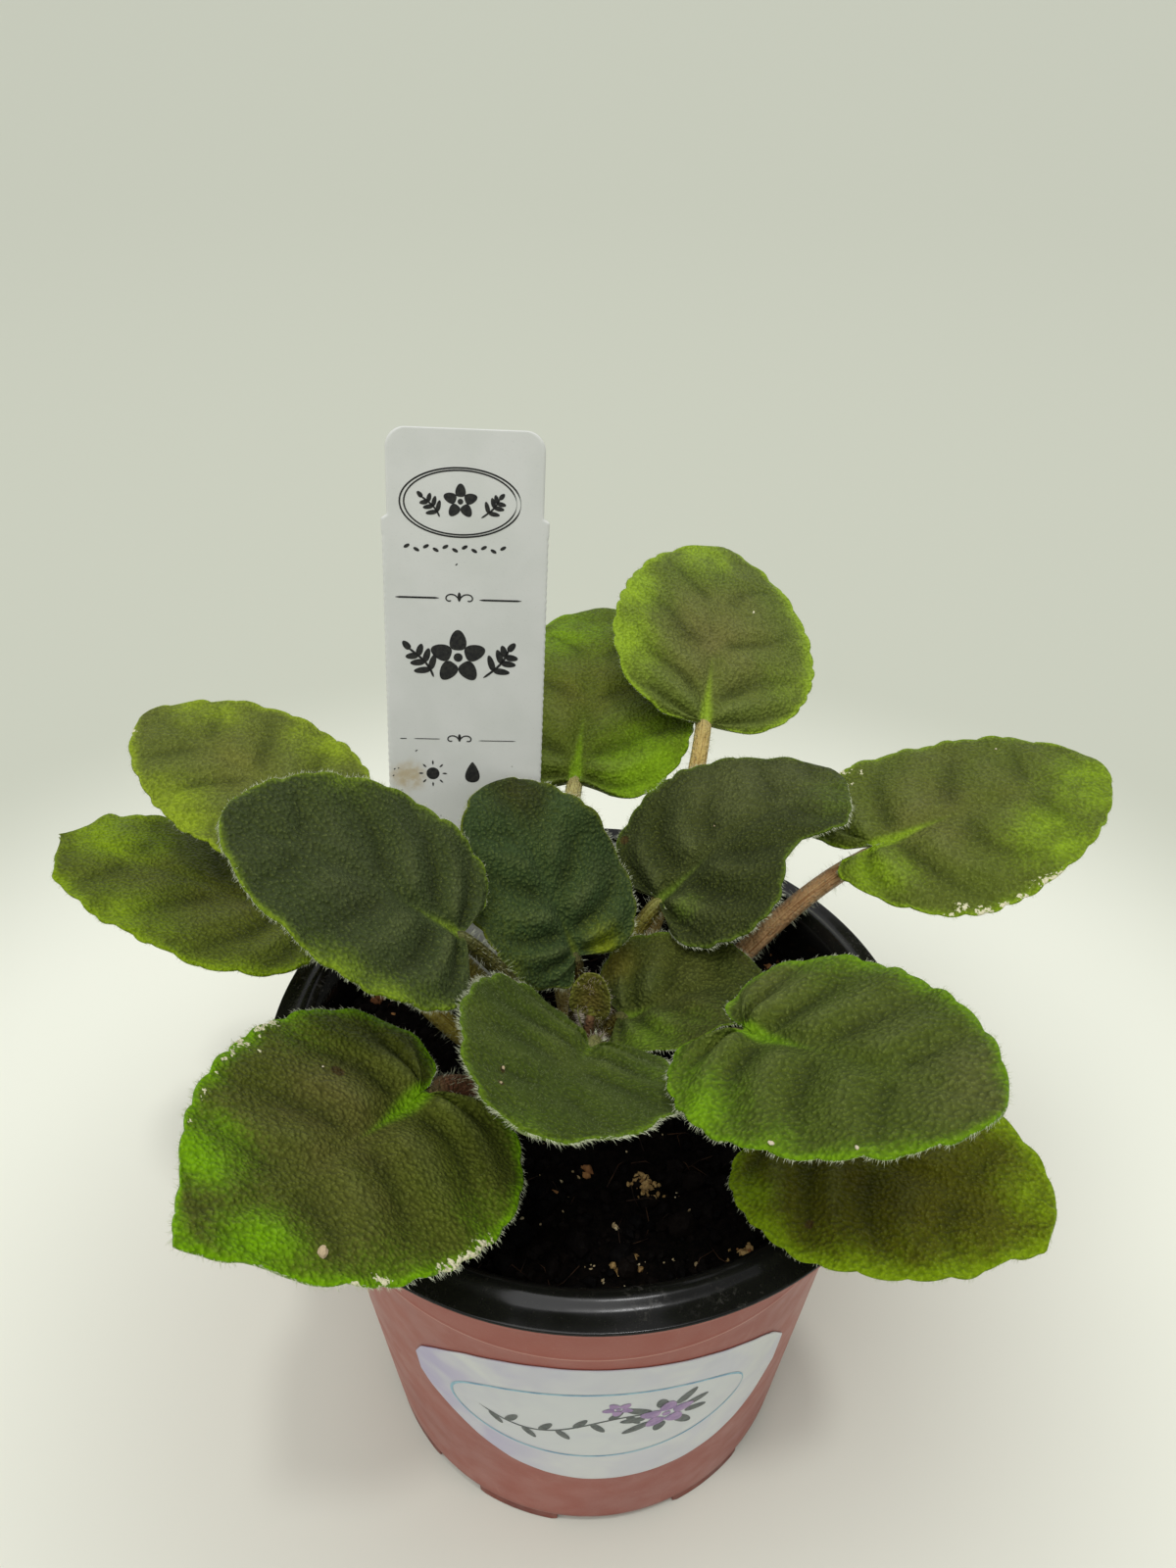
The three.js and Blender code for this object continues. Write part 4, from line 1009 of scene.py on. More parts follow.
def pot_outside_material():
    sh = Shader("pot_outside", Specular_IOR_Level=0.45)
    colour = sh.mix(sh.spread(sh.noise(28, 4), 0.3, 0.7), "9f5344", "944c40")
    colour = sh.mix(sh.spread(sh.noise(0.35, 2), 0.55, 0.85, 0, 0.25), colour, "b4766a")
    drag = sh.noise(2.2, 5, 0.65, 0.4, sh.stretched(1, 1, 0.16))
    colour = sh.mix(sh.spread(drag, 0.60, 0.82, 0, 0.35), colour, "c08d80")
    marks = sh.noise(1.1, 5, 0.7, 1.2, sh.stretched(0.5, 0.5, 1.5))
    marks = sh.scuffs(marks, (0.66, 0.74), 17, (0.5, 0.62))
    colour = sh.mix(sh.math("MULTIPLY", marks, 0.55), colour, "d8b3a8")
    nicks = sh.noise(0.9, 4, 0.7, 2.0, sh.stretched(0.6, 0.6, 1.8))
    nicks = sh.scuffs(nicks, (0.68, 0.72), 23, (0.54, 0.62))
    colour = sh.mix(sh.math("MULTIPLY", nicks, 0.6), colour, "5a2c24")
    dust = sh.spread(sh.cells(5.2), 0.0, 0.05, 0.8, 0.0)
    colour = sh.mix(dust, colour, "3a211c")
    split = sh.add("SeparateXYZ")
    sh.feed(split.inputs[0], sh.place)
    # Bands round the wall by height: a painted highlight along the edge of the step, painted shade just under
    # the step, and painted shade along the bottom of the wall.
    lines = ((STEP_HEIGHT + 0.2, 0.32, "d7a797", 0.75), (STEP_HEIGHT - 0.7, 0.6, "7f4034", 0.35),
             (FOOT_HEIGHT + 1, 1.2, "7d3d31", 0.5))
    for level, half, tone, share in lines:
        away = sh.math("ABSOLUTE", sh.math("SUBTRACT", split.outputs["Z"], level * MM))
        colour = sh.mix(sh.spread(away, 0.0, half * MM, share, 0.0), colour, tone)
    rough = sh.spread(sh.noise(6, 4), 0.3, 0.75, 0.36, 0.52)
    normal = sh.bump(sh.noise(0.5, 3), 0.02)
    normal = sh.bump(sh.noise(14, 2), 0.25, before=normal)
    return sh.finish(colour, rough, normal)


# The feet are the wall's terracotta painted darker, which is painted shade, with paler scuffs on it.
def shaded_foot_material():
    sh = Shader("shaded_pot_foot", Specular_IOR_Level=0.4)
    colour = sh.mix(sh.spread(sh.noise(7, 4), 0.3, 0.7), "6f3128", "84402f")
    colour = sh.mix(sh.spread(sh.noise(0.8, 4, 0.6), 0.58, 0.8, 0, 0.3), colour, "b08478")
    return sh.finish(colour, sh.spread(sh.noise(3), 0.3, 0.7, 0.4, 0.6), sh.bump(sh.noise(0.5, 3), 0.03))


def pot_inside_material():
    sh = Shader("pot_inside", Specular_IOR_Level=0.22)
    scuffs = sh.scuffs(sh.noise(1.2, 5, 0.7, 0.8), (0.5, 0.72), 13, (0.52, 0.66))
    colour = sh.mix(sh.math("MULTIPLY", scuffs, 0.45), "121210", "5f5c55")
    colour = sh.mix(sh.spread(sh.noise(0.6, 3), 0.62, 0.8, 0, 0.3), colour, "4a4640")
    rough = sh.spread(sh.noise(5, 4), 0.3, 0.7, 0.15, 0.22)
    rough = sh.math("ADD", rough, sh.math("MULTIPLY", scuffs, 0.35))
    return sh.finish(colour, rough, sh.bump(sh.noise(9, 2), 0.15))


def make_pot():
    sides = 160
    outer = [
        (1, FOOT_HEIGHT - 1), (8, FOOT_HEIGHT - 1, 0.5), (9.4, FOOT_HEIGHT, 0.6),
        (BASE_RADIUS - 2.6, FOOT_HEIGHT, 0.5), (BASE_RADIUS - 2.3, FOOT_HEIGHT + 0.3, 0.3),
        (BASE_RADIUS - 0.2, FOOT_HEIGHT + 0.1, 0.5), (BASE_RADIUS + 0.05, FOOT_HEIGHT + 1.2, 0.5),
        (NECK_RADIUS - 0.5, STEP_HEIGHT, 0.1), (NECK_RADIUS + 0.05, STEP_HEIGHT + 0.12, 0.14),
        (NECK_RADIUS + 0.05, STEP_HEIGHT + 0.7, 0.3), (NECK_RADIUS, STEP_HEIGHT + 1.0, 0.2),
        (NECK_RADIUS, POT_HEIGHT - 2.6, 0.8), (NECK_RADIUS + 1.2, POT_HEIGHT - 1.6, 0.8),
        (RIM_RADIUS - 0.6, POT_HEIGHT - 2.3, 0.3), (RIM_RADIUS, POT_HEIGHT - 2, 0.3),
        (RIM_RADIUS, POT_HEIGHT - 1.5),
    ]
    inner = [
        (RIM_RADIUS, POT_HEIGHT - 1.5), (RIM_RADIUS - 0.05, POT_HEIGHT - 1.1, 0.35),
        (RIM_RADIUS - 2.6, POT_HEIGHT - 0.85, 1.2), (RIM_CREST_RADIUS + 1.5, POT_HEIGHT - 0.66, 0.5),
        (RIM_CREST_RADIUS + 0.3, POT_HEIGHT - 0.04, 0.45), (RIM_CREST_RADIUS - 0.5, POT_HEIGHT, 0.4),
        (NECK_RADIUS - 0.1, POT_HEIGHT - 0.8, 0.8),
        (NECK_RADIUS - WALL + 0.3, POT_HEIGHT - 2.6, 1.2), (NECK_RADIUS - WALL, STEP_HEIGHT, 0.5),
        (NECK_RADIUS - WALL - 0.5, STEP_HEIGHT - 1, 0.5), (BASE_RADIUS - WALL, FLOOR_TOP, 0.8),
        (1, FLOOR_TOP),
    ]
    outside, inside = rounded(outer), rounded(inner)
    profile = np.concatenate([outside, inside[1:]])
    angle = TAU * np.arange(sides) / sides
    rings = np.stack([profile[:, :1] * np.cos(angle), profile[:, :1] * np.sin(angle),
                      np.broadcast_to(profile[:, 1:], (len(profile), sides))], -1)
    which = np.repeat(np.arange(len(profile) - 1) >= len(outside) - 1, sides).astype(int).tolist() + [0, 1]
    shell = Build()
    shell.add(rings, tube_faces(len(profile), sides))
    materials = [pot_outside_material(), pot_inside_material()]
    drill(shell.make("pot_shell", materials, "pot", stands_for=("pot",), material_of=which, weld=0.002))
    feet, steps = Build(), 16
    for centre in FOOT_CENTRES:
        angle = np.radians(np.linspace(centre - FOOT_SPAN / 2, centre + FOOT_SPAN / 2, steps))
        rows = []
        for a, drop in zip(angle, [0.5] + [0.0] * (steps - 2) + [0.5]):
            ring = [(BASE_RADIUS - 2.1, FOOT_HEIGHT + 0.6), (BASE_RADIUS - 2.1, 0.25 + drop),
                    (BASE_RADIUS - 1.9, drop), (BASE_RADIUS - 0.5, drop), (BASE_RADIUS - 0.25, 0.25 + drop),
                    (BASE_RADIUS - 0.2, FOOT_HEIGHT + 0.9)]
            rows.append([(r * math.cos(a), r * math.sin(a), z) for r, z in ring])
        feet.add(np.array(rows), tube_faces(steps, len(ring)))
    feet.make("pot_feet", [shaded_foot_material()], "pot", weld=0.002, smooth=False)


def drill(pot):
    """Cuts the drain holes through the floor"""
    cutter = bpy.data.meshes.new("drain")
    work = bmesh.new()
    for k in range(4):
        a = math.radians(45 + 90 * k)
        at = Matrix.Translation(Vector((DRAIN_CIRCLE * math.cos(a), DRAIN_CIRCLE * math.sin(a), 3)) * MM)
        bmesh.ops.create_cone(work, cap_ends=True, segments=36, radius1=DRAIN_RADIUS * MM,
                              radius2=DRAIN_RADIUS * MM, depth=8 * MM, matrix=at)
    work.to_mesh(cutter)
    work.free()
    tool = bpy.data.objects.new("drain", cutter)
    bpy.context.scene.collection.objects.link(tool)
    cut = pot.modifiers.new("drain", "BOOLEAN")
    cut.operation = "DIFFERENCE"
    cut.object = tool
    made = bpy.data.meshes.new_from_object(pot.evaluated_get(bpy.context.evaluated_depsgraph_get()))
    pot.modifiers.clear()
    pot.data = made
    bpy.data.objects.remove(tool)


# Soil
def soil_height(x, y):
    flat = np.stack([x, y, np.zeros_like(x)], -1)
    share = np.hypot(x, y) / (NECK_RADIUS - WALL)
    lift = 1.6 * (1 - share)
    for height, size, seed in ((0.9, 9, 31), (0.5, 3.1, 32), (0.35, 1.3, 33)):
        lift = lift + height * cloud(flat, size, seed)
    return SOIL_TOP + lift - 0.6


def soil_material():
    sh = Shader("soil_mix", Specular_IOR_Level=0.05)
    # The near-black colours are partly the mix's own dark and partly painted shade from the leaves above.
    colour = sh.mix(sh.spread(sh.noise(1.1, 4, 0.65), 0.35, 0.7), "050403", "120d0a")
    colour = sh.mix(sh.spread(sh.noise(0.45, 3), 0.64, 0.78, 0, 0.5), colour, "33261c")
    normal = sh.bump(sh.noise(0.9, 5, 0.7), 0.9)
    return sh.finish(colour, sh.spread(sh.noise(4), 0.3, 0.7, 0.75, 0.95), normal)


def bit_material(name, dark, light, pale, gloss=0.3):
    sh = Shader(name, Specular_IOR_Level=gloss)
    colour = sh.mix(sh.attribute("shade"), dark, light)
    colour = sh.mix(sh.spread(sh.noise(0.5, 4, 0.65), 0.45, 0.75, 0, 0.6), colour, pale)
    normal = sh.bump(sh.noise(0.35, 4, 0.6), 0.12)
    return sh.finish(colour, sh.spread(sh.noise(1.0), 0.3, 0.7, 0.6, 0.9), normal)


def icosphere(level):
    work = bmesh.new()
    bmesh.ops.create_icosphere(work, subdivisions=level, radius=1)
    points = np.array([v.co[:] for v in work.verts])
    faces = np.array([[v.index for v in f.verts] for f in work.faces])
    work.free()
    return points, faces


def random_turns(rng, count):
    q = unit(rng.normal(size=(count, 4)))
    w, x, y, z = q.T
    return np.stack([
        np.stack([1 - 2 * (y * y + z * z), 2 * (x * y - z * w), 2 * (x * z + y * w)], -1),
        np.stack([2 * (x * y + z * w), 1 - 2 * (x * x + z * z), 2 * (y * z - x * w)], -1),
        np.stack([2 * (x * z - y * w), 2 * (y * z + x * w), 1 - 2 * (x * x + y * y)], -1),
    ], 1)


def scatter(name, material, rng, count, level, size, squash, raised, where=None, jag=0.3, cluster=1,
            spread=0.0):
    """Crumbs on the soil: lumps with their own turn, proportions and shade, count of them anywhere and
    a cluster at each place in where. level = how finely they are cut, size = smallest and largest radius,
    squash and jag = how uneven they are, raised = height of their middles over the soil, in radii."""
    shape, faces = icosphere(level)
    radius = CRUMB_CIRCLE * np.sqrt(rng.random(count))
    angle = TAU * rng.random(count)
    x, y = radius * np.cos(angle), radius * np.sin(angle)
    if where is not None:
        near = np.repeat(np.array(where), cluster, axis=0)
        near = near + rng.normal(size=near.shape) * spread
        x, y = np.concatenate([near[:, 0], x]), np.concatenate([near[:, 1], y])
    keep = np.hypot(x - CROWN_AT[0], y - CROWN_AT[1]) > CROWN_CLEAR
    x, y = x[keep], y[keep]
    count = len(x)
    big = size[0] + (size[1] - size[0]) * rng.random(count) ** 2.2
    scale = big[:, None] * (1 - squash * rng.random((count, 3)))
    lumps = 1 + jag * (rng.random((count, len(shape), 1)) - 0.5)
    points = shape[None] * lumps * scale[:, None]
    points = np.einsum("nij,nkj->nki", random_turns(rng, count), points)
    points += np.stack([x, y, soil_height(x, y) + big * raised], -1)[:, None]
    edge = np.hypot(points[..., 0], points[..., 1])
    points[..., :2] *= np.minimum(1, CRUMB_LIMIT / np.maximum(edge, 1))[..., None]
    build = Build("shade")
    shade = np.repeat(rng.random(count), len(shape))
    build.add(points, copies(faces, len(shape), count), shade=shade)
    build.make(name, [material], "soil", smooth=False)


# Places on the soil, in mm from the pot's axis, where the photograph shows pale or brown bits
CLUMP_SPOTS = (
    (8.6, -24.2), (9.7, -25.4), (23.4, -35.4), (6.0, -37.8),
)
BARK_SPOTS = (
    (-0.5, -23.4), (-42.0, 10.0), (-40.0, 13.5), (-23.3, 27.3), (-21.0, 24.5), (23.5, -35.4), (38.5, 22.0),
    (35.0, 27.0), (33.0, 24.0), (30.0, 19.5), (-41.5, 3.0),
)
GRIT_SPOTS = (
    (8.8, -38.1), (0.2, -38.3), (6.0, -35.0), (14.9, -31.5), (21.0, -39.3), (2.3, -40.6), (13.7, -25.6),
    (-1.7, -23.4), (-9.7, -30.5), (17.0, -37.0), (12.0, -36.5), (4.0, -32.0),
)


def make_soil():
    rng = np.random.default_rng(5)
    radii = np.concatenate([np.linspace(0.15, 44, 64), np.linspace(44.6, 45.9, 4)])
    sides = 200
    angle = TAU * np.arange(sides) / sides
    x, y = radii[:, None] * np.cos(angle), radii[:, None] * np.sin(angle)
    top = np.stack([x, y, soil_height(x, y)], -1)
    wall = []
    profile = ((80.2, SOIL_RADIUS), (STEP_HEIGHT, SOIL_RADIUS), (STEP_HEIGHT - 1, SOIL_RADIUS - 0.55),
               (FLOOR_TOP + 0.3, 39.3), (FLOOR_TOP + 0.3, 0.15))
    for z, r in profile:
        wall.append(np.stack([r * np.cos(angle), r * np.sin(angle), np.full(sides, z)], -1))
    rows = np.concatenate([top, np.array(wall)])
    body = Build()
    body.add(rows, tube_faces(len(rows), sides))
    body.make("soil_plug", [soil_material()], "soil", stands_for=("soil",), weld=0.01)
    # The crumbs' near-black colours are partly painted shade from the leaves above, as on the soil.
    dark = bit_material("soil_crumb", "040303", "110c09", "080605", 0.06)
    scatter("soil_crumbs", dark, rng, count=1700, level=1, size=(0.5, 1.7), squash=0.5, raised=0.1)
    scatter("soil_clods", dark, rng, count=240, level=2, size=(1.3, 3.0), squash=0.45, raised=0.0)
    bark = bit_material("soil_bark", "6b4022", "a97a48", "522c16")
    scatter("soil_bark", bark, rng, count=34, level=1, size=(0.3, 1.3), squash=0.7, raised=0.25,
            where=BARK_SPOTS, jag=0.8, cluster=7, spread=0.7)
    clumps = bit_material("soil_clumps", "85673a", "b5965f", "4f3a1e")
    scatter("soil_clumps", clumps, rng, count=6, level=1, size=(0.3, 0.95), squash=0.45, raised=0.5,
            where=CLUMP_SPOTS, jag=0.8, cluster=22, spread=0.95)
    grit = bit_material("soil_grit", "9a8158", "cfbf97", "7d6844")
    scatter("soil_grit", grit, rng, count=90, level=1, size=(0.14, 0.6), squash=0.7, raised=0.3,
            where=GRIT_SPOTS, jag=0.8, cluster=4, spread=0.5)
    fibres = Build()
    number = 170
    radius, angle = 44 * np.sqrt(rng.random(number)), TAU * rng.random(number)
    x, y = radius * np.cos(angle), radius * np.sin(angle)
    turn = TAU * rng.random(number)
    length = 1.5 + 5 * rng.random(number)
    start = np.stack([x, y, soil_height(x, y) + 0.5], -1)
    end = start + np.stack([length * np.cos(turn), length * np.sin(turn), 0.5 * rng.random(number)], -1)
    far = np.hypot(end[:, 0], end[:, 1])
    end[:, :2] *= np.minimum(1, 45.5 / far)[:, None]
    end[:, 2] = soil_height(end[:, 0], end[:, 1]) + 0.3
    bend = rng.normal(size=(number, 3)) * 0.5
    bend[:, 2] = np.abs(bend[:, 2]) + 0.3
    fibres.add(*spikes(start, end, width=0.11, bends=bend))
    sh = Shader("soil_fibre", Specular_IOR_Level=0.2)
    tint = sh.mix(sh.spread(sh.noise(3), 0.3, 0.7), "1a110b", "4a3220")
    fibres.make("soil_fibres", [sh.finish(tint, 0.8)], "soil")


# Flat printed marks. Their surface is named by a function from two coordinates in mm to a point.
def band(build, left, right, place):
    """The strip between two lines"""
    rows = np.stack([left, right], 1)
    build.add(place(rows[..., 0], rows[..., 1]), grid_faces(len(rows), 2))


def pen(build, line, width, place):
    """An inked line, thinner at its ends"""
    line = np.asarray(line, float)
    along = unit(np.gradient(line, axis=0))
    half = width / 2 * np.clip(5 * np.sin(math.pi * np.linspace(0, 1, len(line))), 0.2, 1)[:, None]
    side = np.stack([-along[:, 1], along[:, 0]], -1) * half
    band(build, line + side, line - side, place)


def blot(build, start, end, half, place, power=1.0):
    """A filled shape from start to end, at most half wide to either side: round or like a petal"""
    start, end = np.array(start, float), np.array(end, float)
    u = np.linspace(0, 1, 15)
    middle = start + (end - start) * (1 - np.cos(math.pi * u))[:, None] / 2
    wide = half * np.sin(math.pi * u**power)
    along = unit(end - start)
    side = np.array([-along[1], along[0]]) * wide[:, None]
    band(build, middle + side, middle - side, place)


def blossom(build, x, y, size, place, turn=0.3):
    """A generic flower with five petals"""
    heart = np.array([x, y])
    for k in range(5):
        a = TAU * k / 5 + turn
        out = np.array([math.cos(a), math.sin(a)])
        blot(build, heart + 0.26 * size * out, heart + size * out, 0.30 * size, place, 0.75)
    blot(build, (x - 0.16 * size, y), (x + 0.16 * size, y), 0.16 * size, place)


def sprig(build, x, y, size, lean, place):
    """A bent stem with three pairs of leaves and one at its tip"""
    u = np.linspace(0, 1, 20)
    across = math.sin(lean) * u + 0.12 * np.sin(math.pi * u)
    stem = np.stack([x + size * across, y + size * math.cos(lean) * u], -1)
    pen(build, stem, 0.045 * size + 0.1, place)
    for k in range(4):
        at = stem[int(19 * (0.3 + 0.7 * k / 3))]
        for side in (-1, 1) if k < 3 else (0,):
            a = lean + side * 1.0
            tip = at + (0.42 - 0.05 * k) * size * np.array([math.sin(a), math.cos(a)])
            blot(build, at, tip, 0.085 * size, place, 0.85)


def scroll(build, x, y, size, place):
    """A pair of small curls that meet, as in the middle of a ruled line"""
    u = np.linspace(0, 1, 26)
    for side in (-1, 1):
        a = 5.2 * u
        r = size * (1 - 0.8 * u)
        curl = np.stack([x + side * (size * 1.15 - r * np.cos(a)), y + 0.8 * r * np.sin(a)], -1)
        pen(build, curl, 0.22, place)
    blot(build, (x, y - 0.3 * size), (x, y + 0.9 * size), 0.22 * size, place)


def ink_material(name, dark, light, gloss, grain, smooth, rough):
    sh = Shader(name, Specular_IOR_Level=gloss)
    tint = sh.mix(sh.spread(sh.noise(grain, 3), 0.3, 0.7), dark, light)
    return sh.finish(tint, sh.spread(sh.noise(2), 0.3, 0.7, smooth, rough))


# Tag
def tag_frame():
    upward = np.array([TAG_LEAN_SIDE, TAG_LEAN_BACK, 1.0])
    across = np.array([math.cos(math.radians(TAG_TURN)), math.sin(math.radians(TAG_TURN)), 0.0])
    across = unit(across - upward * (across @ upward) / (upward @ upward))
    return across, upward, unit(np.cross(across, upward))


def tag_place(x, y, lift):
    """x and y run across and up the tag in mm, lift is the height off its middle plane"""
    across, upward, outward = tag_frame()
    x, y, lift = np.broadcast_arrays(x, y, lift)
    return TAG_AT + x[..., None] * across + y[..., None] * upward + lift[..., None] * outward


def tag_material():
    sh = Shader("tag_sheet", Specular_IOR_Level=0.4)
    colour = sh.mix(sh.spread(sh.noise(9, 3), 0.3, 0.7), "dfe1da", "e6e7e1")
    colour = sh.mix(sh.spread(sh.noise(0.3, 2), 0.58, 0.8, 0, 0.16), colour, "b9bcb2")
    blotch = sh.math("MULTIPLY", sh.attribute("stain"), sh.spread(sh.noise(1.6, 4, 0.6), 0.25, 0.7, 0.5, 1.1))
    colour = sh.mix(sh.spread(blotch, 0.12, 0.9, 0, 0.8), colour, "c3b084")
    colour = sh.mix(sh.spread(sh.cells(7.5), 0.0, 0.035, 0.7, 0.0), colour, "6b675c")
    normal = sh.bump(sh.noise(0.35, 3), 0.012)
    normal = sh.bump(sh.noise(20, 2), 0.2, before=normal)
    return sh.finish(colour, sh.spread(sh.noise(5, 3), 0.3, 0.7, 0.42, 0.56), normal)


def make_tag():
    low, high = TAG_POINT - TAG_AT[2], TAG_TOP - TAG_AT[2]
    shoulder = TAG_SHOULDER - TAG_AT[2]
    corner, neck, half = 3.0, TAG_NECK_WIDTH / 2, TAG_WIDTH / 2
    y = np.concatenate([
        [low, low + 0.25], np.linspace(low + 1, low + TAG_TAPER, 24),
        np.arange(low + TAG_TAPER + 0.3, shoulder - 1.3, 0.3),
        shoulder - 1.2 + 1.2 * np.linspace(0, 1, 8), np.linspace(shoulder + 0.4, high - corner, 14)[:-1],
        high - corner + corner * np.sin(np.linspace(0, 0.5, 14) * math.pi),
    ])
    wide = np.interp(y, [low, low + TAG_TAPER, low + TAG_TAPER + 0.1], [1.6, half, half])
    ease = smoothstep(shoulder - 0.9, shoulder - 0.1, y)
    wide = np.where(y > low + TAG_TAPER + 1, half - (half - neck) * ease, wide)
    over = np.clip((y - (high - corner)) / corner, 0, 1)
    wide = wide - corner * (1 - np.sqrt(1 - over**2))
    straight = (y > low + TAG_TAPER + 3) * (y < shoulder - 3)
    saw = 0.13 * np.abs(np.sin(math.pi * y / 1.27)) ** 0.6 * straight
    left, right = -wide + saw, wide - saw
    share = np.concatenate([[0, 0.012], np.linspace(0.03, 0.97, 38), [0.988, 1]])
    x = left[:, None] + (right - left)[:, None] * share
    depth = TAG_THICKNESS / 2
    edge = np.minimum(np.minimum(share, 1 - share)[None, :] * (2 * wide[:, None]), 0.2)
    rise = depth - 0.12 * (1 - edge / 0.2) ** 2
    rise[0] -= 0.1
    rise[-1] -= 0.12
    front = tag_place(x, y[:, None], rise)
    back = tag_place(x[:, ::-1], y[:, None], -rise[:, ::-1])
    rows = np.concatenate([front, back], 1)
    where = np.concatenate([x, x[:, ::-1]], 1)
    stain = np.exp(-(((where + 9.6) / 3.3) ** 2 + ((y[:, None] + 1.6) / 2.9) ** 2))
    stain[:, x.shape[1]:] = 0
    body = Build("stain")
    body.add(rows, tube_faces(len(y), rows.shape[1]), stain=stain.reshape(-1))
    body.make("tag_sheet", [tag_material()], "tag", stands_for=("tag",), weld=0.003)


def print_tag():
    """Generic drawings: flowers and sprigs, ruled lines with curls, a sun, a drop and a few dots"""
    def printed(x, y):
        return tag_place(x, y, TAG_THICKNESS / 2 + TAG_INK)

    ink = Build()
    u = np.linspace(0, TAU, 61)
    for grow in (1.0, 0.93):
        oval = np.stack([-0.8 + 9.3 * grow * np.cos(u), 44.2 + 5.2 * grow * np.sin(u)], -1)
        pen(ink, oval, 0.26 * grow, printed)
    blossom(ink, -0.8, 44.4, 2.7, printed)
    sprig(ink, -4.0, 42.0, 4.2, -0.75, printed)
    sprig(ink, 2.4, 42.0, 4.2, 0.75, printed)
    for k in range(11):
        blot(ink, (-9.6 + 1.5 * k, 37.2), (-8.7 + 1.5 * k, 37.7 - (k % 2)), 0.26, printed)
    rules = ((-11.1, -4.2, 29.35, 0.30), (2.2, 8.9, 29.15, 0.30), (-10.9, -9.8, 5.3, 0.14),
             (-8.6, -4.2, 5.3, 0.14), (2.2, 8.5, 5.1, 0.14))
    for x0, x1, y, width in rules:
        pen(ink, np.stack([np.linspace(x0, x1, 12), np.full(12, y)], -1), width, printed)
    scroll(ink, -1.0, 29.2, 1.25, printed)
    scroll(ink, -1.0, 5.2, 1.15, printed)
    blossom(ink, -1.2, 19.6, 4.6, printed, turn=0.32)
    sprig(ink, -5.2, 16.2, 6.4, -0.7, printed)
    sprig(ink, 2.9, 16.2, 6.4, 0.7, printed)
    blot(ink, (-6.6, -1.0), (-4.4, -1.0), 1.1, printed)
    for k in range(8):
        a = TAU * k / 8
        out = np.array([math.cos(a), math.sin(a)])
        pen(ink, np.array([-5.5, -1.0]) + np.outer(np.linspace(1.6, 2.4, 4), out), 0.28, printed)
    blot(ink, (1.2, 1.2), (1.2, -2.6), 1.25, printed, 1.5)
    dots = ((-1.6, 34.6, 0.35), (-8.4, 3.0, 0.35), (-12.1, -0.4, 0.3), (-12.3, -1.6, 0.25),
            (-11.4, -0.2, 0.2), (-12.0, -4.6, 0.3), (-10.9, -4.3, 0.25))
    for x, y, size in dots:
        blot(ink, (x, y), (x + size, y + 0.8 * size), 0.1, printed)
    black = ink_material("tag_ink", "1d1d1f", "33332f", gloss=0.35, grain=0.5, smooth=0.5, rough=0.65)
    ink.make("tag_print", [black], "tag")


# Sticker
def sticker_place(x, z, lift):
    """x runs round the wall from its front in mm, z is the height"""
    x, z, lift = np.broadcast_arrays(x, z, lift)
    share = (z - FOOT_HEIGHT) / (STEP_HEIGHT - FOOT_HEIGHT)
    r = BASE_RADIUS + (NECK_RADIUS - 0.5 - BASE_RADIUS) * share + lift
    a = x / STICKER_WALL - math.pi / 2
    return np.stack([r * np.cos(a), r * np.sin(a), z], -1)


def sticker_material():
    sh = Shader("sticker_film", Specular_IOR_Level=0.5)
    soft = sh.noise(13, 3, 0.5, 0.6)
    colour = sh.mix(sh.spread(soft, 0.36, 0.62), "cdced4", "d6d8d6")
    violet = sh.spread(sh.noise(10, 2, 0.5, 0.4), 0.3, 0.6)
    violet = sh.math("MULTIPLY", sh.attribute("violet"), violet)
    colour = sh.mix(violet, colour, "b7b1cc")
    colour = sh.mix(sh.math("MULTIPLY", sh.attribute("mist"), 0.8), colour, "d3d7d5")
    colour = sh.mix(sh.spread(sh.noise(6, 1), 0.45, 0.7, 0, 0.3), colour, "c2c2cc")
    normal = sh.bump(sh.noise(9, 0), 0.12)
    return sh.finish(colour, sh.spread(sh.noise(5, 1), 0.3, 0.7, 0.34, 0.46), normal)


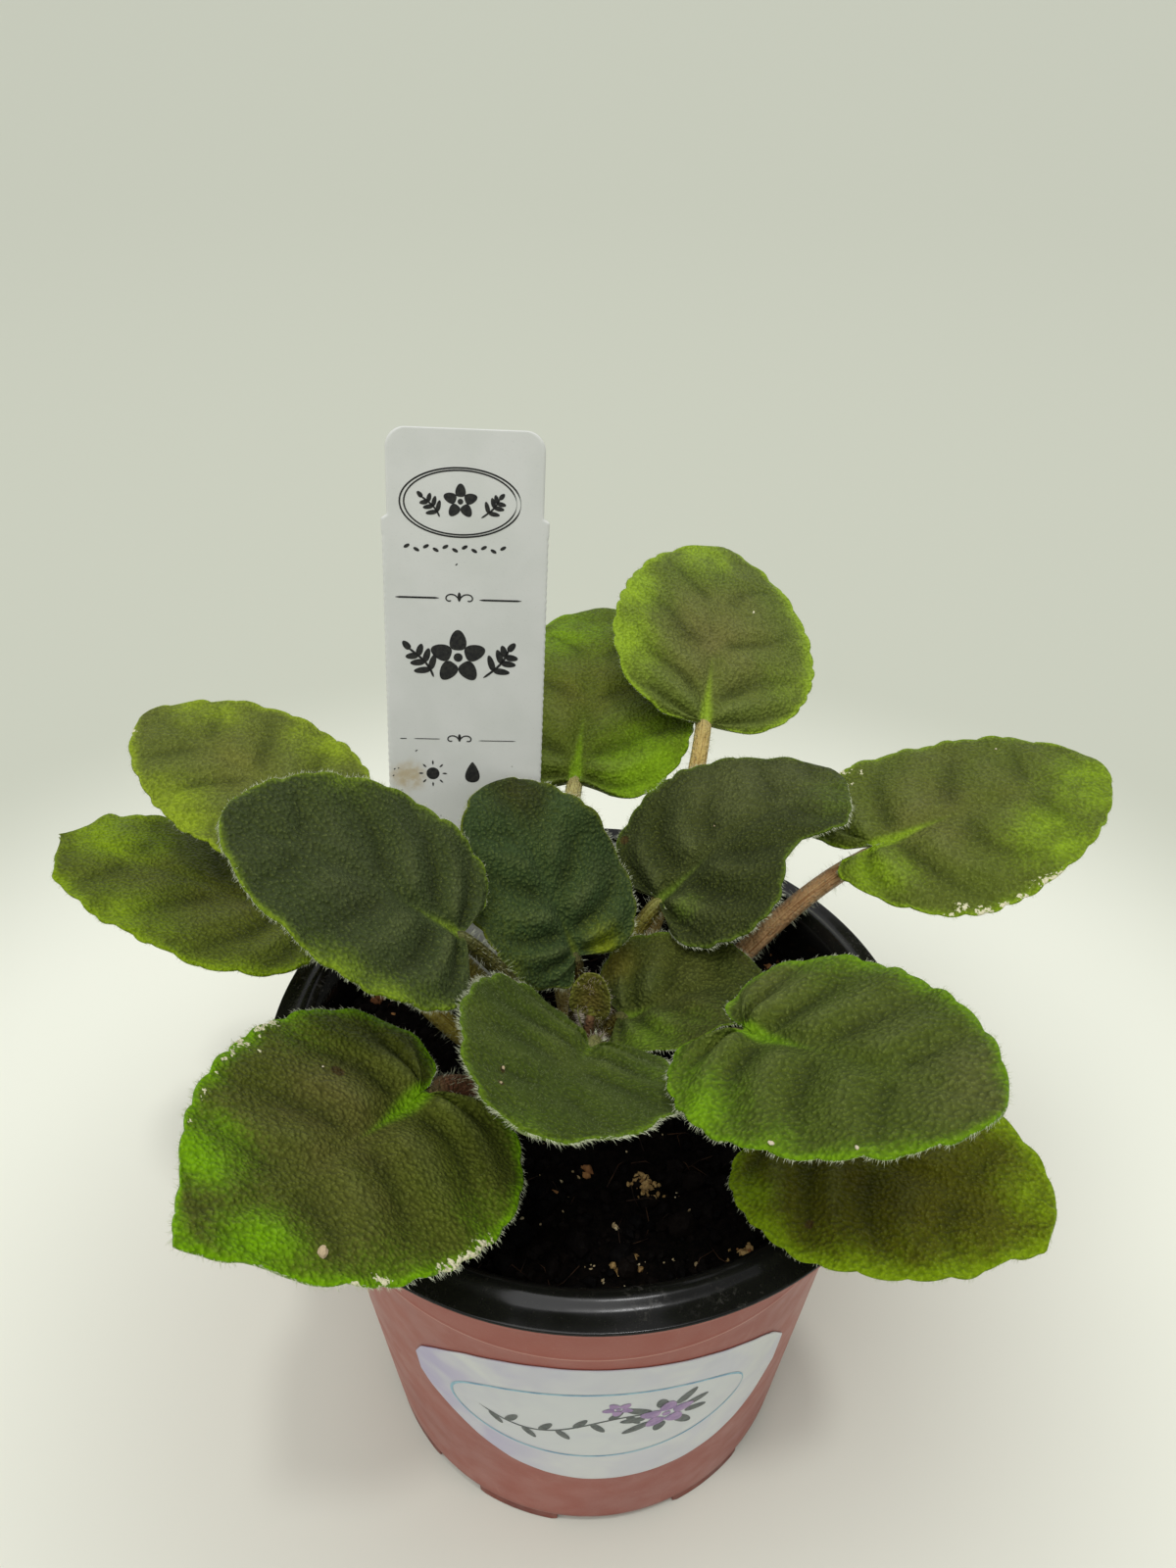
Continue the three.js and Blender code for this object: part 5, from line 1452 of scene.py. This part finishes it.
def make_sticker():
    bearings = [-38, -35.5, -31, -24, -16, -8, 0, 8, 16, 24, 32, 38, 42, 46.5]
    upper = [51.5, 56, 59.6, 64, 66.6, 68, 68.2, 68, 67, 65.3, 62.6, 59.8, 57, 51.5]
    lower = [47, 42.6, 38.4, 32.4, 27.5, 25, 23.6, 23.4, 23.8, 24.8, 27, 30.4, 34.5, 43]
    columns, rows = 150, 26
    ease = 0.5 - 0.5 * np.cos(math.pi * (0.04 + 0.94 * np.linspace(0, 1, columns)))
    bearing = bearings[0] + (bearings[-1] - bearings[0]) * ease
    kernel = np.hanning(9) / np.hanning(9).sum()
    lines = []
    for heights in (upper, lower):
        line = np.interp(bearing, bearings, heights)
        padded = np.concatenate([2 * line[0] - line[4:0:-1], line, 2 * line[-1] - line[-2:-6:-1]])
        lines.append(np.convolve(padded, kernel, "valid"))
    share = np.concatenate([[0, 0.006], np.linspace(0.02, 0.98, rows - 3), [0.994, 1]])
    z = lines[1][:, None] + (lines[0] - lines[1])[:, None] * share
    x = np.radians(bearing)[:, None] * STICKER_WALL + 0 * z
    lift = np.where((share == 0) | (share == 1), 0.2, 0.3) * np.ones_like(z)
    lift[0] = lift[-1] = 0.2
    loop = np.concatenate([sticker_place(x, z, lift), sticker_place(x, z[:, ::-1], 0.06)], 1)
    both_x, both_z = np.concatenate([x, x], 1), np.concatenate([z, z[:, ::-1]], 1)
    oval = ((both_x - 2.5) / 24.5) ** 2 + ((both_z - 47) / 12.5) ** 2
    body = Build("violet", "mist")
    body.add(loop, tube_faces(columns, loop.shape[1]), violet=smoothstep(4, -24, both_x).reshape(-1),
             mist=smoothstep(1.06, 0.94, oval).reshape(-1))
    body.make("sticker_film", [sticker_material()], "sticker", stands_for=("sticker",), weld=0.003)


def print_sticker():
    """An oval line, a vine and two generic flowers"""
    def printed(x, z):
        return sticker_place(x, z, STICKER_INK)

    def over(x, z):
        return sticker_place(x, z, STICKER_FLOWER)

    u = np.linspace(0, TAU, 121)
    border = Build()
    pen(border, np.stack([2.5 + 24.5 * np.cos(u), 47 + 12.5 * np.sin(u)], -1), 0.5, printed)
    shader = Shader("sticker_border", Specular_IOR_Level=0.5)
    tint = shader.mix(shader.spread(shader.noise(3, 2), 0.35, 0.65), "5f97b8", "8fc0cf")
    border.make("sticker_border", [shader.finish(tint, 0.35)], "sticker")
    ink = Build()
    u = np.linspace(0, 1, 60)
    vine = np.stack([-17 + 27 * u, 47 - 3.2 * np.sin(5.2 * u)], -1)
    pen(ink, vine, 0.42, printed)
    for k in range(9):
        at = vine[4 + 6 * k]
        side = 1 if k % 2 else -1
        blot(ink, at, at + (1.9, side * 3.4), 0.72, printed, 0.85)
    heart = np.array([13.0, 48.4])
    for k in range(9):
        a = 0.35 + TAU * k / 9
        out = np.array([math.cos(a), 0.85 * math.sin(a)])
        blot(ink, heart + 3.4 * out, heart + (7.4 + 1.6 * (k % 2)) * out, 1.0, printed, 0.85)
    grey = ink_material("sticker_ink", "3f4546", "5b6461", gloss=0.45, grain=0.8, smooth=0.35, rough=0.5)
    ink.make("sticker_sprigs", [grey], "sticker")
    flower = Build()
    blossom(flower, *heart, 4.6, over, turn=0.25)
    blossom(flower, 5.2, 53.6, 2.5, over, turn=0.8)
    violet = ink_material("sticker_flower", "8a6f9e", "a98bb5", gloss=0.45, grain=1.5, smooth=0.35, rough=0.5)
    flower.make("sticker_flower", [violet], "sticker")


# Stage: pale floor, soft light from above and round about, and the camera
def make_floor():
    mesh = bpy.data.meshes.new("floor")
    far, z = 40, -0.0002  # metres
    mesh.from_pydata([(-far, -far, z), (far, -far, z), (far, far, z), (-far, far, z)], [], [(0, 1, 2, 3)])
    floor = bpy.data.objects.new("floor", mesh)
    bpy.context.scene.collection.objects.link(floor)
    sh = Shader("floor", Roughness=0.8, Specular_IOR_Level=0.1)
    away = sh.add("VectorMath", operation="LENGTH")
    sh.feed(away.inputs[0], sh.place)
    away = away.outputs["Value"]
    # Colour by distance from the pot's axis: darkest within about 6 cm and pale by 16 cm, painted shade round
    # the pot and under the leaves; greyer again from about 17 cm out, where the floor also stands in for the
    # backdrop.
    colour = sh.mix(sh.spread(away, 0.06, 0.16), "d7d7ca", "eaecdd")
    colour = sh.mix(sh.spread(away, 0.165, 0.29), colour, "c4c7b7")
    mesh.materials.append(sh.finish(sh.mix(sh.spread(away, 0.4, 1.5), colour, "c0c3b3")))


def make_lights():
    world = bpy.data.worlds.new("studio")
    world.use_nodes = True
    sky = world.node_tree.nodes["Background"].inputs
    sky["Color"].default_value = (0.97, 0.98, 1.0, 1)
    sky["Strength"].default_value = 0.43
    bpy.context.scene.world = world
    lamps = (("key", (-0.25, -0.35, 1), 46, 1.3), ("top", (0.3, 0.5, 1), 80, 0.5),
             ("lamp", (0.12, -0.22, 1), 5, 0.5))
    for name, toward, spread, power in lamps:
        lamp = bpy.data.lights.new(name, "SUN")
        lamp.angle = math.radians(spread)
        lamp.energy = power
        light = bpy.data.objects.new(name, lamp)
        light.rotation_mode = "QUATERNION"
        light.rotation_quaternion = Vector(toward).to_track_quat("Z", "Y")
        bpy.context.scene.collection.objects.link(light)


def make_camera():
    pitch, yaw, roll = CAMERA_PITCH, CAMERA_YAW, CAMERA_ROLL
    ahead = math.cos(pitch)
    forward = Vector((math.sin(yaw) * ahead, math.cos(yaw) * ahead, -math.sin(pitch)))
    level = forward.cross(Vector((0, 0, 1))).normalized()
    upright = level.cross(forward)
    right = level * math.cos(roll) + upright * math.sin(roll)
    up = upright * math.cos(roll) - level * math.sin(roll)
    data = bpy.data.cameras.new("camera")
    data.sensor_width = SENSOR
    data.lens = SENSOR * FOCAL / FRAME_HEIGHT
    data.clip_start = 0.01
    camera = bpy.data.objects.new("camera", data)
    turn = Matrix((right, up, -forward)).transposed().to_4x4()
    camera.matrix_world = Matrix.Translation(Vector(CAMERA_AT) * MM) @ turn
    bpy.context.scene.collection.objects.link(camera)
    bpy.context.scene.camera = camera


bpy.context.scene.view_settings.view_transform = "Standard"
fringe = hair_material("fringe", "ced4b0")
for number, (name, leaf) in enumerate(LEAVES.items()):
    make_leaf(name, leaf, 11 + 7 * number, fringe)
make_crown()
make_specks()
make_pot()
make_soil()
make_tag()
print_tag()
make_sticker()
print_sticker()
make_floor()
make_lights()
make_camera()
